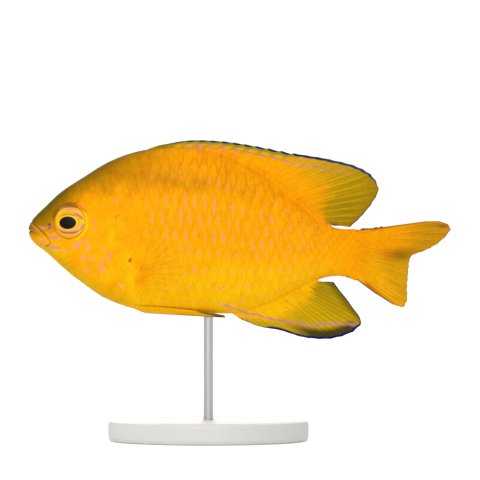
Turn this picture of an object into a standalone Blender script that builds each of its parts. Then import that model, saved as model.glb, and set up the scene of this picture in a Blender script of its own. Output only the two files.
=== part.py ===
"""A life-size lemon damselfish, swimming, held on a small display stand.

The fish heads towards -X, its left side faces -Y and +Z is up. Z is 0 under the stand's base.
Places on the fish are given in millimetres as (behind, above): how far behind the snout's tip, and how
far above it. The first block holds the driving sizes, and every piece is worked out from them.
"""

import math

import bmesh
import bpy
import numpy as np
from mathutils import Matrix, Vector

MM = 0.001

# Driving sizes, in millimetres
TOTAL_LENGTH = 80.0
STANDARD_LENGTH = 62.0
SNOUT_HEIGHT = 40.1
GAP = 0.3
OFF_MIDLINE = 1.0
PAST_FLANK = 12.0

# The body's outline and half width, as (behind, value)
BACK = [(0, 0), (0.3, 1.3), (1.2, 2.5), (3.5, 4.85), (5.8, 7.0), (10.3, 10.0), (14.9, 12.8), (19.5, 14.6),
        (24.0, 15.45), (28.6, 15.7), (33.3, 15.2), (38.1, 13.8), (42.8, 11.4), (47.6, 8.1), (52.3, 4.0),
        (55.6, 1.4), (58.0, 0.4), (60.0, 0.15), (62.0, 0.1)]
BELLY = [(0, 0), (0.3, -1.55), (1.2, -2.75), (3.5, -4.6), (5.8, -6.7), (10.3, -10.4), (14.9, -13.35),
         (17.3, -14.3), (19.5, -15.0), (24.8, -15.5), (30.5, -15.8), (36.6, -16.0), (39.0, -15.95),
         (42.8, -15.1), (47.6, -13.2), (52.3, -10.8), (54.8, -9.6), (57.1, -9.0), (60.0, -9.05),
         (62.0, -9.75)]
HALF_WIDTH = [(0, 0), (0.4, 1.25), (1.2, 2.0), (3.5, 3.0), (5.8, 3.8), (8.0, 4.45), (10.3, 5.1),
              (14.9, 6.0), (19.5, 6.4), (24.8, 6.5), (30.5, 6.3), (36.6, 5.7), (42.8, 4.7), (47.6, 3.8),
              (52.3, 2.95), (55.6, 2.4), (58.0, 2.05), (60.0, 1.8), (62.0, 1.6)]
WIDEST_AT = 0.48
BACK_POWER = 1.8
BELLY_POWER = 2.1
BODY_RINGS = 44
BODY_SIDES = 32
RING_CROWDING = 1.7
THINNEST = 0.02
LINE_STEPS = 3
SHARP_ANGLE = math.radians(35)

# The tail swings towards +Y behind this place
SWING_START = 40.0
SWING = 2.0

# Eye, nostril and mouth
EYE_AT = (7.8, 1.4)
EYE_RADIUS = 3.1
EYE_DOME = 0.75
EYE_DEPTH = 3.4
EYE_EDGE = -0.35
EYE_SIDES = 20
EYE_RINGS = 12
EYE_SHARP_ANGLE = math.radians(60)
EYE_YAW = math.radians(14)
EYE_PITCH = math.radians(8)
RIM_RADIUS = 3.7
RIM_THICK = 0.6
RIM_SUNK = 0.42
RIM_SIDES = 8
RIM_STEPS = 26
NOSTRIL_AT = (4.0, 0.9)
NOSTRIL_RADIUS = 0.3
NOSTRIL_DEPTH = 0.9
NOSTRIL_SIDES = 10
MOUTH_LINE = [(-1.0, -0.1), (0.0, -0.2), (1.2, -0.75), (2.5, -1.6), (3.3, -2.6), (3.3, -3.6), (2.9, -5.5)]
LIP_LINE = [(0.1, 2.6), (0.55, 1.35), (1.7, 0.35), (2.9, -0.7), (3.9, -1.9), (4.1, -2.8), (3.4, -3.2)]

# Where the head ends and where the tail's stalk starts, from back to belly
GILL_LINE = [(21.5, 17.0), (20.3, 13.0), (18.3, 6.5), (18.4, 2.4), (19.5, -0.6), (19.8, -3.6),
             (18.9, -7.4), (16.7, -10.6), (14.6, -12.4), (13.2, -15.0)]
STALK_LINE = [(56.6, 4.0), (56.0, 0.0), (55.6, -4.0), (56.0, -8.0), (56.6, -12.0)]
GILL_COVER = [(13.6, 3.2), (15.8, 3.4), (17.8, 1.9), (18.9, -0.8), (19.2, -3.6), (18.3, -7.1), (16.2, -10.1),
              (13.9, -11.0), (11.9, -9.6), (12.9, -6.4), (13.4, -2.5), (13.4, 0.8)]
COVER_PROUD = 0.18
COVER_THICK = 0.7

# A place inside each piece that the cuts leave, in the side view, and its colour
PIECES = {"head": ((11, 0), "HEAD"), "torso": ((35, 0), "FLESH"), "tail_stalk": ((59, -4.5), "FLESH"),
          "upper_lip": ((1.2, -0.2), "HEAD"), "lower_jaw": ((1.6, -2.6), "HEAD")}

# Fins: thickness of the membrane, of the rays' ridges and of the flesh at the root
FIN_THICK = 0.5
RAY_THICK = 1.0
TIP_SHARE = 0.45
ROOT_THICK = 1.1
FLESHY_SHARE = 0.25

# A fin on the midline has rays as (number, root behind, (tip behind, tip above)), the others blended
DORSAL_RAYS = 27
DORSAL_SPINES = 13
DORSAL_ROWS = 8
DORSAL_KEYS = [(0, 22.6, (24.8, 16.0)), (3, 27.5, (30.6, 16.9)), (6, 33.3, (36.9, 16.7)),
               (9, 38.8, (43.2, 15.8)), (12, 44.3, (50.3, 14.45)), (15, 47.2, (57.0, 13.35)),
               (17.5, 49.3, (62.5, 11.9)), (19.5, 50.9, (65.4, 10.0)), (21, 52.0, (66.45, 7.7)),
               (22.5, 53.2, (65.4, 5.35)), (24.3, 55.2, (63.1, 2.5)), (26, 57.4, (60.9, 0.5))]
ANAL_RAYS = 16
ANAL_SPINES = 2
ANAL_ROWS = 7
ANAL_KEYS = [(0, 38.6, (40.3, -17.1)), (1, 40.2, (42.6, -18.05)), (4, 43.0, (47.6, -19.15)),
             (7, 46.2, (53.0, -20.65)), (9.5, 48.8, (58.3, -20.6)), (11.3, 50.7, (62.0, -19.1)),
             (12.4, 51.7, (63.1, -17.5)), (13.6, 53.1, (61.3, -14.6)), (15, 54.9, (57.7, -10.0))]
SPINE_STEP = 0.13
SOFT_STEP = 0.015
DORSAL_LEAN = 1.2
ANAL_LEAN = -0.9

# The tail fin's rays are (number, root above, (tip behind, tip above)). Its lower lobe curls further
CAUDAL_RAYS = 19
CAUDAL_ROWS = 9
CAUDAL_KEYS = [(0, -0.2, (75.5, 1.6)), (1.2, -0.8, (78.4, 1.55)), (2.2, -1.3, (80.0, 0.85)),
               (3, -1.65, (80.3, 0.0)), (4.5, -2.25, (78.5, -2.15)), (6.5, -3.1, (75.7, -3.85)),
               (8.5, -4.0, (72.9, -4.95)), (10, -4.65, (72.4, -6.0)), (12, -5.5, (72.15, -8.4)),
               (14.5, -6.6, (72.0, -11.4)), (16.3, -7.6, (71.9, -13.9)), (17.2, -8.6, (71.1, -14.85)),
               (18, -9.55, (69.2, -14.3))]
CAUDAL_ROOT_THICK = 2.2
CAUDAL_BULGE = 0.2
BULGE_POWER = 6
LOWER_LOBE_CURL = 4.5
CURL_POWER = 1.6

# A pectoral fin fans out of the flank: how far its rays reach in the side view, from the highest
PECTORAL_AT = (20.6, -8.2)
PECTORAL_RAYS = 17
PECTORAL_ROWS = 8
PECTORAL_ROOT_RADIUS = 1.3
PECTORAL_REACH = [10.9, 10.6, 10.0, 9.3, 8.6, 7.8, 7.0, 6.3]
PECTORAL_FAN = (math.radians(64), math.radians(-98))
PECTORAL_HINGE = math.radians(18)
PECTORAL_SPREAD = math.radians(45)
PECTORAL_CUP = 0.9
PECTORAL_EASE = 0.25

# A pelvic fin lies folded along the belly, as (share of its length, value)
PELVIC_RAYS = 6
PELVIC_ROWS = 10
PELVIC_RAY_THICK = 0.8
PELVIC_START = 18.6
PELVIC_LENGTH = 18.6
PELVIC_REACH = [(0.0, 1.0), (0.3, 0.98), (0.65, 0.9), (1.0, 0.8)]
PELVIC_WIDTHS = [(0.0, 1.2), (0.35, 1.6), (0.7, 1.3), (1.0, 0.8)]
PELVIC_INNER = [(0.0, 1.1), (0.4, 0.9), (0.7, 1.0), (1.0, 1.25)]
PELVIC_CLEAR = GAP + PELVIC_RAY_THICK / 2
PELVIC_DROOP = 0.5

# Stand
ROD_AT = 34.0
ROD_RADIUS = 0.9
ROD_SOCKET = 1.8
BASE_RADIUS = 19.0
BASE_THICK = 4.0
BASE_EDGE = 0.8
BASE_EDGE_STEPS = 2
ROD_SIDES = 24
BASE_SIDES = 56

RENDERED = {"FLESH": ((0.95, 0.48, 0.01), 0.42, 0.0), "HEAD": ((0.86, 0.45, 0.01), 0.42, 0.0),
            "FIN": ((0.72, 0.47, 0.02), 0.4, 0.0), "CLEAR_FIN": ((0.97, 0.7, 0.1), 0.35, 0.0),
            "EYE": ((0.03, 0.025, 0.02), 0.08, 0.0), "STEEL": ((0.62, 0.63, 0.65), 0.28, 1.0),
            "BASE": ((0.82, 0.82, 0.8), 0.45, 0.0)}


def material(name):
    """A Principled material from the table above."""
    made = bpy.data.materials.get(name)
    if made is None:
        colour, roughness, metallic = RENDERED[name]
        made = bpy.data.materials.new(name)
        made.use_nodes = True
        shader = made.node_tree.nodes["Principled BSDF"]
        shader.inputs["Base Color"].default_value = (*colour, 1)
        shader.inputs["Roughness"].default_value = roughness
        shader.inputs["Metallic"].default_value = metallic
    return made


def curve_through(points, at):
    """The value at one place of a smooth curve through (place, value) points."""
    places = np.array([p[0] for p in points], float)
    values = np.array([p[1] for p in points], float)
    slopes = np.gradient(values, places)
    i = int(np.clip(np.searchsorted(places, at) - 1, 0, len(places) - 2))
    step = places[i + 1] - places[i]
    t = min(max((at - places[i]) / step, 0.0), 1.0)
    return float(
        (1 + 2 * t) * (1 - t) ** 2 * values[i] + t * (1 - t) ** 2 * step * slopes[i]
        + t * t * (3 - 2 * t) * values[i + 1] + t * t * (t - 1) * step * slopes[i + 1]
    )


def blunt_curve(points, behind):
    """As curve_through, but rounded off at the snout's tip."""
    return curve_through([(math.sqrt(place), value) for place, value in points], math.sqrt(max(behind, 0)))


def back(behind):
    return blunt_curve(BACK, behind)


def belly(behind):
    return blunt_curve(BELLY, behind)


def half_width(behind):
    return blunt_curve(HALF_WIDTH, behind)


def side(behind, above):
    """The body's half width at one place of its side view."""
    low, high = belly(behind), back(behind)
    widest = low + (high - low) * WIDEST_AT
    if above > widest:
        reach, power = (above - widest) / (high - widest), BACK_POWER
    else:
        reach, power = (widest - above) / (widest - low), BELLY_POWER
    return half_width(behind) * max(0.0, 1 - min(1.0, reach) ** power) ** (1 / power)


def swing(behind):
    """How far the tail's swing carries a place towards +Y."""
    share = max(0.0, behind - SWING_START) / (STANDARD_LENGTH - SWING_START)
    return SWING * share * share


def place(behind, across, above):
    """A point in metres, from its place on the fish in millimetres."""
    return Vector((behind - TOTAL_LENGTH / 2, across + swing(behind), above + SNOUT_HEIGHT)) * MM


def link(name, mesh, kind, collection):
    obj = bpy.data.objects.new(name, mesh)
    collection.objects.link(obj)
    if kind:
        mesh.materials.append(material(kind))
    else:
        obj.hide_render = True
        obj.display_type = "WIRE"
    return obj


def mesh_from(name, bm):
    bmesh.ops.recalc_face_normals(bm, faces=bm.faces)
    if bm.calc_volume(signed=True) < 0:
        bmesh.ops.reverse_faces(bm, faces=bm.faces)
    mesh = bpy.data.meshes.new(name)
    bm.to_mesh(mesh)
    bm.free()
    return mesh


def body_mesh(name, grow=0.0):
    """The whole body as one closed surface: a ball's rings laid along the fish and shaped to its sections."""
    bm = bmesh.new()
    bmesh.ops.create_uvsphere(bm, u_segments=BODY_SIDES, v_segments=BODY_RINGS, radius=1)
    for vertex in bm.verts:
        polar = math.acos(max(-1.0, min(1.0, vertex.co.z)))
        ring = min(1.0, polar / math.pi * BODY_RINGS / (BODY_RINGS - 1))
        behind = STANDARD_LENGTH * ring**RING_CROWDING
        on_axis = math.hypot(vertex.co.x, vertex.co.y) < 1e-6
        low, high = belly(behind), back(behind)
        widest = low + (high - low) * WIDEST_AT
        if on_axis:
            vertex.co = place(behind + math.copysign(max(grow, 0), behind - 1), 0, widest)
            continue
        around = math.atan2(vertex.co.y, vertex.co.x)
        power = BACK_POWER if math.cos(around) > 0 else BELLY_POWER
        upright = math.copysign(abs(math.cos(around)) ** (2 / power), math.cos(around))
        sideways = math.copysign(abs(math.sin(around)) ** (2 / power), math.sin(around))
        height = max(THINNEST, (high - widest if upright > 0 else widest - low) + grow)
        wide = max(THINNEST, half_width(behind) + grow)
        vertex.co = place(behind, sideways * wide, widest + upright * height)
    return mesh_from(name, bm)


def prism(name, outline, low, high):
    """A closed block: an outline in the side view, pushed from one distance across to another."""
    bm = bmesh.new()
    face = bm.faces.new([bm.verts.new(place(b, 0, a)) for b, a in outline])
    for vertex in bm.verts:
        vertex.co.y = low * MM
    pushed = bmesh.ops.extrude_face_region(bm, geom=[face])["geom"]
    for item in pushed:
        if isinstance(item, bmesh.types.BMVert):
            item.co.y = high * MM
    return mesh_from(name, bm)


def ribbon(line, thick):
    """The outline of a strip of even thickness along a line."""
    points = [Vector(p) for p in line]
    sides = []
    for i, point in enumerate(points):
        along = points[min(i + 1, len(points) - 1)] - points[max(i - 1, 0)]
        sides.append((point, Vector((-along.y, along.x)).normalized() * thick / 2))
    return [p + n for p, n in sides] + [p - n for p, n in reversed(sides)]


def smooth_line(points, steps):
    """More points on a smooth curve through those given, evenly spread between them."""
    rows = list(enumerate(points))
    behind = [(i, p[0]) for i, p in rows]
    above = [(i, p[1]) for i, p in rows]
    marks = np.linspace(0, len(points) - 1, (len(points) - 1) * steps + 1)
    return [(curve_through(behind, m), curve_through(above, m)) for m in marks]


def grown(outline, by):
    """An outline moved outwards all round."""
    points = [Vector(p) for p in outline]
    count = len(points)
    turn = sum(points[i - 1].cross(points[i]) for i in range(count))
    moved = []
    for i, point in enumerate(points):
        along = points[(i + 1) % count] - points[i - 1]
        moved.append(point + Vector((along.y, -along.x)).normalized() * by * (1 if turn > 0 else -1))
    return moved


def boolean(obj, operation, others):
    """Cuts, joins or keeps what is common with the other objects, and makes the result the object's mesh.

    The exact solver gives the head another shape from run to run, so this uses the manifold one.
    """
    for other in others:
        modifier = obj.modifiers.new(operation.lower(), "BOOLEAN")
        modifier.operation = operation
        modifier.solver = "MANIFOLD"
        modifier.object = other
    bpy.context.view_layer.update()
    graph = bpy.context.evaluated_depsgraph_get()
    result = bpy.data.meshes.new_from_object(obj.evaluated_get(graph))
    obj.modifiers.clear()
    obj.data = result


def islands(obj):
    """The closed pieces that a cut has left, as new meshes with their middles."""
    bm = bmesh.new()
    bm.from_mesh(obj.data)
    owner, count = {}, 0
    for start in bm.verts:
        if start.index in owner:
            continue
        owner[start.index] = count
        edge = [start]
        while edge:
            vertex = edge.pop()
            for e in vertex.link_edges:
                other = e.other_vert(vertex)
                if other.index not in owner:
                    owner[other.index] = count
                    edge.append(other)
        count += 1
    meshes = []
    for number in range(count):
        piece = bmesh.new()
        group = [v for v in bm.verts if owner[v.index] == number]
        copies = {v.index: piece.verts.new(v.co) for v in group}
        for face in bm.faces:
            if owner[face.verts[0].index] == number:
                piece.faces.new([copies[v.index] for v in face.verts])
        middle = sum((v.co for v in group), Vector()) / len(group)
        meshes.append((mesh_from("piece", piece), middle))
    bm.free()
    return meshes


def shade(obj, angle=SHARP_ANGLE):
    obj.data.shade_smooth()
    obj.data.set_sharp_from_angle(angle=angle)


def eye_frame(hand):
    """The matrix of an eye: its own +Z looks out of the head, from the skin at the eye's middle."""
    behind, above = EYE_AT
    centre = place(behind, hand * side(behind, above), above)
    out = Vector((-math.sin(EYE_YAW), hand * math.cos(EYE_YAW), math.sin(EYE_PITCH))).normalized()
    return Matrix.Translation(centre) @ out.to_track_quat("Z", "Y").to_matrix().to_4x4()


def eye_mesh(name, grow=0.0):
    """An eyeball: a low dome outside the skin and a deeper bowl inside, as a ball stretched to fit."""
    bm = bmesh.new()
    bmesh.ops.create_uvsphere(bm, u_segments=EYE_SIDES, v_segments=EYE_RINGS, radius=1)
    for vertex in bm.verts:
        reach = EYE_DOME - EYE_EDGE if vertex.co.z > 0 else EYE_DEPTH + EYE_EDGE
        vertex.co.x *= EYE_RADIUS + grow
        vertex.co.y *= EYE_RADIUS + grow
        vertex.co.z = EYE_EDGE + vertex.co.z * (reach + grow)
    bmesh.ops.scale(bm, vec=(MM, MM, MM), verts=bm.verts)
    return mesh_from(name, bm)


def rod_mesh(name, radius, low, high, sides=ROD_SIDES):
    bm = bmesh.new()
    bmesh.ops.create_cone(bm, cap_ends=True, segments=sides, radius1=radius * MM, radius2=radius * MM,
                          depth=(high - low) * MM)
    bmesh.ops.translate(bm, vec=(0, 0, (low + high) / 2 * MM), verts=bm.verts)
    return mesh_from(name, bm)


def sheet(name, rays, rows, surface, root, collection, kind="FIN", ray_thick=RAY_THICK):
    """A fin: a grid laid on surface(s, t, on_ray) and thickened to both sides, with a ridge along each ray.

    s runs along the fin's root and t from root to margin, both from 0 to 1. Every other column of the
    grid is a ray. It is split into triangles before it is thickened, so both faces have the same ones.
    """
    most = root + ray_thick
    bm = bmesh.new()
    bmesh.ops.create_grid(bm, x_segments=2 * rays - 2, y_segments=rows - 1, size=0.5)
    places = [(v.co.x + 0.5, v.co.y + 0.5, round((v.co.x + 0.5) * (2 * rays - 2)) % 2 == 0) for v in bm.verts]
    for vertex, (s, t, on_ray) in zip(bm.verts, places):
        vertex.co = surface(s, t, on_ray)
    bmesh.ops.triangulate(bm, faces=bm.faces, quad_method="FIXED")
    fin = link(name, mesh_from(name, bm), kind, collection)
    group = fin.vertex_groups.new(name="thickness")
    for index, (_, t, on_ray) in enumerate(places):
        ridge = (ray_thick - FIN_THICK) * (1 - (1 - TIP_SHARE) * t) if on_ray else 0
        flesh_left = max(0.0, 1 - t / FLESHY_SHARE)
        width = FIN_THICK + ridge + (root - FIN_THICK) * flesh_left**2
        group.add([index], width / most, "REPLACE")
    solidify = fin.modifiers.new("thickness", "SOLIDIFY")
    solidify.thickness = most * MM
    solidify.offset = 0
    solidify.vertex_group = "thickness"
    shade(fin)
    return fin


def blend_rays(keys, number):
    """Root, tip behind and tip above of any ray, from the few that are given."""
    roots = [(key[0], key[1]) for key in keys]
    tips_behind = [(key[0], key[2][0]) for key in keys]
    tips_above = [(key[0], key[2][1]) for key in keys]
    return [curve_through(points, number) for points in (roots, tips_behind, tips_above)]


def median_fin(name, keys, rays, spines, rows, body_edge, lean, collection):
    """A fin on the fish's midline. Its root follows body_edge, and its margin steps in behind each spine."""
    away = GAP if body_edge is back else -GAP

    def surface(s, t, on_ray):
        number = s * (rays - 1)
        root, tip_behind, tip_above = blend_rays(keys, number)
        step = 0 if on_ray else (SPINE_STEP if number < spines - 1 else SOFT_STEP)
        reach = t * (1 - step)
        above = body_edge(root) + away
        behind = root + (tip_behind - root) * reach
        return place(behind, lean * (s * t) ** 2, above + (tip_above - above) * reach)

    return sheet(name, rays, rows, surface, ROOT_THICK, collection)


def caudal_fin(collection):
    """The tail fin, which goes on with the tail's swing. Its lowest rays bulge a little below a line."""
    def surface(s, t, on_ray):
        root_above, tip_behind, tip_above = blend_rays(CAUDAL_KEYS, s * (CAUDAL_RAYS - 1))
        root = STANDARD_LENGTH + GAP
        reach = t * (1 if on_ray else 1 - SOFT_STEP)
        above = root_above + (tip_above - root_above) * reach
        bulge = CAUDAL_BULGE * s**BULGE_POWER * math.sin(math.pi * math.sqrt(t))
        curl = LOWER_LOBE_CURL * s * s * t**CURL_POWER
        return place(root + (tip_behind - root) * reach, curl, above - bulge)

    return sheet("caudal_fin", CAUDAL_RAYS, CAUDAL_ROWS, surface, CAUDAL_ROOT_THICK, collection)


def pectoral_fin(name, hand, collection):
    """A spread fan on a fleshy root; hand is -1 on the left and 1 on the right.

    It turns out from the flank about its hinge, so a ray across the hinge stands out furthest.
    """
    marks = [(i / (len(PECTORAL_REACH) - 1), reach) for i, reach in enumerate(PECTORAL_REACH)]

    def surface(s, t, on_ray):
        angle = PECTORAL_FAN[0] + (PECTORAL_FAN[1] - PECTORAL_FAN[0]) * s
        along, up = math.cos(angle), math.sin(angle)
        root_behind = PECTORAL_AT[0] + PECTORAL_ROOT_RADIUS * along
        root_above = PECTORAL_AT[1] + PECTORAL_ROOT_RADIUS * up
        far = (curve_through(marks, s) - PECTORAL_ROOT_RADIUS) * t * (1 if on_ray else 1 - SOFT_STEP)
        off_hinge = math.cos(angle - PECTORAL_HINGE)
        lift = (off_hinge + math.hypot(off_hinge, PECTORAL_EASE)) / 2 * math.tan(PECTORAL_SPREAD)
        out = far * lift - PECTORAL_CUP * t * t * math.sin(math.pi * s)
        across = side(root_behind, root_above) + GAP + ROOT_THICK / 2 + out
        return place(root_behind + far * along, hand * across, root_above + far * up)

    return sheet(name, PECTORAL_RAYS, PECTORAL_ROWS, surface, ROOT_THICK, collection, "CLEAR_FIN")


def belly_point(behind, across):
    """Height and slope of the belly's skin at a distance from the midline."""
    low, high = belly(behind), back(behind)
    widest = low + (high - low) * WIDEST_AT
    share = across / half_width(behind)
    fall = (1 - share**BELLY_POWER) ** (1 / BELLY_POWER)
    slope = (widest - low) / half_width(behind) * (share / fall) ** (BELLY_POWER - 1)
    return widest - (widest - low) * fall, slope


def pelvic_fin(name, hand, collection):
    """A folded blade along the belly, with an even edge and its tip drooping a little clear."""
    def surface(s, t, on_ray):
        behind = PELVIC_START + PELVIC_LENGTH * t * curve_through(PELVIC_REACH, s)
        across = curve_through(PELVIC_INNER, t) + curve_through(PELVIC_WIDTHS, t) * s
        above, slope = belly_point(behind, across)
        tilt = math.atan(slope)
        clear = PELVIC_CLEAR + PELVIC_DROOP * t**4
        return place(behind, hand * (across + clear * math.sin(tilt)), above - clear * math.cos(tilt))

    return sheet(name, PELVIC_RAYS, PELVIC_ROWS, surface, FIN_THICK, collection, ray_thick=PELVIC_RAY_THICK)


def gill_cover(name, hand, bodies, collection):
    """A plate over the gill chamber: the skin inside the cover's outline, a little proud of the flank."""
    outline = smooth_line(GILL_COVER + GILL_COVER[:1], LINE_STEPS)[:-1]
    low, high = sorted((hand * OFF_MIDLINE, hand * PAST_FLANK))
    cover = link(name, prism(name, outline, low, high), "HEAD", collection)
    boolean(cover, "INTERSECT", [bodies["proud"]])
    boolean(cover, "DIFFERENCE", [bodies["under"]])
    shade(cover)
    return cover


def gill_pocket(hand, bodies, cutters):
    """The hollow that a gill cover lies in."""
    outline = grown(smooth_line(GILL_COVER + GILL_COVER[:1], LINE_STEPS)[:-1], GAP)
    low, high = sorted((hand * OFF_MIDLINE, hand * PAST_FLANK))
    pocket = link("cut_gill", prism("cut_gill", outline, low, high), None, cutters)
    boolean(pocket, "DIFFERENCE", [bodies["deep"]])
    return pocket


def eye_rim(hand, cutters):
    """A low ring of skin round the eye socket."""
    bm = bmesh.new()
    upright = Matrix.Translation((RIM_RADIUS * MM, 0, 0)) @ Matrix.Rotation(math.pi / 2, 4, "X")
    bmesh.ops.create_circle(bm, segments=RIM_SIDES, radius=RIM_THICK * MM, matrix=upright)
    bmesh.ops.spin(bm, geom=bm.verts[:] + bm.edges[:], cent=(0, 0, 0), axis=(0, 0, 1), angle=math.tau,
                   steps=RIM_STEPS, use_merge=True)
    rim = link("join_rim", mesh_from("join_rim", bm), None, cutters)
    rim.matrix_world = eye_frame(hand) @ Matrix.Translation((0, 0, -RIM_SUNK * MM))
    return rim


def head_cutters(bodies, cutters):
    """What is taken out of the head: eye sockets, nostrils and the hollows under the gill covers."""
    found = []
    for hand in (-1, 1):
        socket = link("cut_socket", eye_mesh("cut_socket", GAP), None, cutters)
        socket.matrix_world = eye_frame(hand)
        behind, above = NOSTRIL_AT
        hole = rod_mesh("cut_nostril", NOSTRIL_RADIUS, -NOSTRIL_DEPTH, NOSTRIL_DEPTH, NOSTRIL_SIDES)
        pit = link("cut_nostril", hole, None, cutters)
        out = Vector((-math.sin(EYE_YAW), hand, math.sin(EYE_PITCH))).normalized()
        pit.matrix_world = (Matrix.Translation(place(behind, hand * side(behind, above), above))
                            @ out.to_track_quat("Z", "Y").to_matrix().to_4x4())
        found += [socket, pit, gill_pocket(hand, bodies, cutters)]
    return found


def flesh(collection, cutters):
    """The body, parted by thin cuts into head, jaws, torso and tail stalk, with the gill covers."""
    whole = link("cut_whole", body_mesh("cut_whole"), None, cutters)
    bodies = {name: link("cut_" + name, body_mesh("cut_" + name, grow), None, cutters) for name, grow in
              (("proud", COVER_PROUD), ("under", COVER_PROUD - COVER_THICK),
               ("deep", COVER_PROUD - COVER_THICK - GAP))}
    lines = []
    for line in (MOUTH_LINE, LIP_LINE, GILL_LINE, STALK_LINE):
        strip = ribbon(smooth_line(line, LINE_STEPS), GAP)
        lines.append(link("cut_line", prism("cut_line", strip, -PAST_FLANK, PAST_FLANK), None, cutters))
    boolean(whole, "DIFFERENCE", lines)
    cut, made = islands(whole), {}
    for name, ((behind, above), kind) in PIECES.items():
        mesh, _ = min(cut, key=lambda piece: (piece[1] - place(behind, 0, above)).length)
        made[name] = link(name, mesh, kind, collection)
    boolean(made["head"], "UNION", [eye_rim(hand, cutters) for hand in (-1, 1)])
    boolean(made["head"], "DIFFERENCE", head_cutters(bodies, cutters))
    socket = link("cut_rod", rod_mesh("cut_rod", ROD_RADIUS + GAP, 0, rod_top() + GAP), None, cutters)
    socket.location = (place(ROD_AT, 0, 0).x, 0, 0)
    boolean(made["torso"], "DIFFERENCE", [socket])
    for obj in made.values():
        shade(obj)
    for hand, word in ((-1, "left"), (1, "right")):
        gill_cover("gill_cover_" + word, hand, bodies, collection)


def rod_top():
    return SNOUT_HEIGHT + belly(ROD_AT) + ROD_SOCKET


def eyes(collection):
    for hand, word in ((-1, "left"), (1, "right")):
        eye = link("eye_" + word, eye_mesh("eye_" + word), "EYE", collection)
        eye.matrix_world = eye_frame(hand)
        shade(eye, EYE_SHARP_ANGLE)


def fins(collection):
    median_fin("dorsal_fin", DORSAL_KEYS, DORSAL_RAYS, DORSAL_SPINES, DORSAL_ROWS, back, DORSAL_LEAN,
               collection)
    median_fin("anal_fin", ANAL_KEYS, ANAL_RAYS, ANAL_SPINES, ANAL_ROWS, belly, ANAL_LEAN, collection)
    caudal_fin(collection)
    for hand, word in ((-1, "left"), (1, "right")):
        pectoral_fin("pectoral_fin_" + word, hand, collection)
        pelvic_fin("pelvic_fin_" + word, hand, collection)


def stand(collection, cutters):
    """A round base with a soft edge and one rod, let into the base and into the fish's belly."""
    foot = BASE_THICK - ROD_SOCKET
    rod = link("stand_rod", rod_mesh("stand_rod", ROD_RADIUS, foot, rod_top()), "STEEL", collection)
    rod.location = (place(ROD_AT, 0, 0).x, 0, 0)
    shade(rod)
    deep = rod_mesh("cut_base", ROD_RADIUS + GAP, foot - GAP, BASE_THICK + GAP)
    hole = link("cut_base", deep, None, cutters)
    hole.location = rod.location
    disc = rod_mesh("stand_base", BASE_RADIUS, 0, BASE_THICK, BASE_SIDES)
    base = link("stand_base", disc, "BASE", collection)
    base.location = rod.location
    edge = base.modifiers.new("edge", "BEVEL")
    edge.width = BASE_EDGE * MM
    edge.segments = BASE_EDGE_STEPS
    cut = base.modifiers.new("hole", "BOOLEAN")
    cut.operation = "DIFFERENCE"
    cut.object = hole
    shade(base)


def main():
    for obj in list(bpy.data.objects):
        bpy.data.objects.remove(obj)
    fish = bpy.data.collections.new("lemon_damselfish")
    cutters = bpy.data.collections.new("cutters")
    bpy.context.scene.collection.children.link(fish)
    bpy.context.scene.collection.children.link(cutters)
    flesh(fish, cutters)
    eyes(fish)
    fins(fish)
    stand(fish, cutters)


main()
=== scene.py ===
"""The looks of the lemon damselfish on its stand: skin, scales, fins, eyes, paint and steel.

The fish heads towards -X and its left side faces -Y. Places on it are in millimetres, as (behind, above):
how far behind the snout's tip and how far above it, the same as in the source of the solids. A place on a
fin is (number, reach): the fin ray's number, and the share of the way from its root to its tip.
"""

import math

import bpy
import numpy as np
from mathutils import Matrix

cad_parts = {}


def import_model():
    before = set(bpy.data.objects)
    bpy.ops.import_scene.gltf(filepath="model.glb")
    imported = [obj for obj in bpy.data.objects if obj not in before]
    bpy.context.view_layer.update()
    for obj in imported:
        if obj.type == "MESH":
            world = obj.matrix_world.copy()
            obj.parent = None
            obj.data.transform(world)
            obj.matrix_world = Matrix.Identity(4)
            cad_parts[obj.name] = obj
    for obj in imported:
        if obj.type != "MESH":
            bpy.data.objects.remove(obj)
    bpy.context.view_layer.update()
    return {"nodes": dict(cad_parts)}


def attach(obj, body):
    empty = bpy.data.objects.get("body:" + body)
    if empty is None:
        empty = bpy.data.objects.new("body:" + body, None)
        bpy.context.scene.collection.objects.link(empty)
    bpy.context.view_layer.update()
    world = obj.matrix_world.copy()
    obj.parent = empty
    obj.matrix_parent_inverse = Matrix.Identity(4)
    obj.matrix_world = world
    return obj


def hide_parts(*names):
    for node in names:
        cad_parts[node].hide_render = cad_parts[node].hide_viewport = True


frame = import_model()

MM = 0.001

# The left side faces -Y
SIDES = ((-1, "left"), (1, "right"))

# The fish's own sizes, in millimetres, as the solids have them. Back, belly and width run on a little past
# the stalk, because the skin runs out over the tail fin's root
TOTAL_LENGTH = 80.0
STANDARD_LENGTH = 62.0
SNOUT_HEIGHT = 40.1
GAP = 0.3
BACK = [(0, 0), (0.3, 1.3), (1.2, 2.5), (3.5, 4.85), (5.8, 7.0), (10.3, 10.0), (14.9, 12.8), (19.5, 14.6),
        (24.0, 15.45), (28.6, 15.7), (33.3, 15.2), (38.1, 13.8), (42.8, 11.4), (47.6, 8.1), (52.3, 4.0),
        (55.6, 1.4), (58.0, 0.4), (60.0, 0.15), (62.0, 0.1), (63.3, -0.2), (64.6, -0.7)]
BELLY = [(0, 0), (0.3, -1.55), (1.2, -2.75), (3.5, -4.6), (5.8, -6.7), (10.3, -10.4), (14.9, -13.35),
         (17.3, -14.3), (19.5, -15.0), (24.8, -15.5), (30.5, -15.8), (36.6, -16.0), (39.0, -15.95),
         (42.8, -15.1), (47.6, -13.2), (52.3, -10.8), (54.8, -9.6), (57.1, -9.0), (60.0, -9.05),
         (62.0, -9.75), (63.3, -9.75), (64.6, -9.3)]
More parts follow.
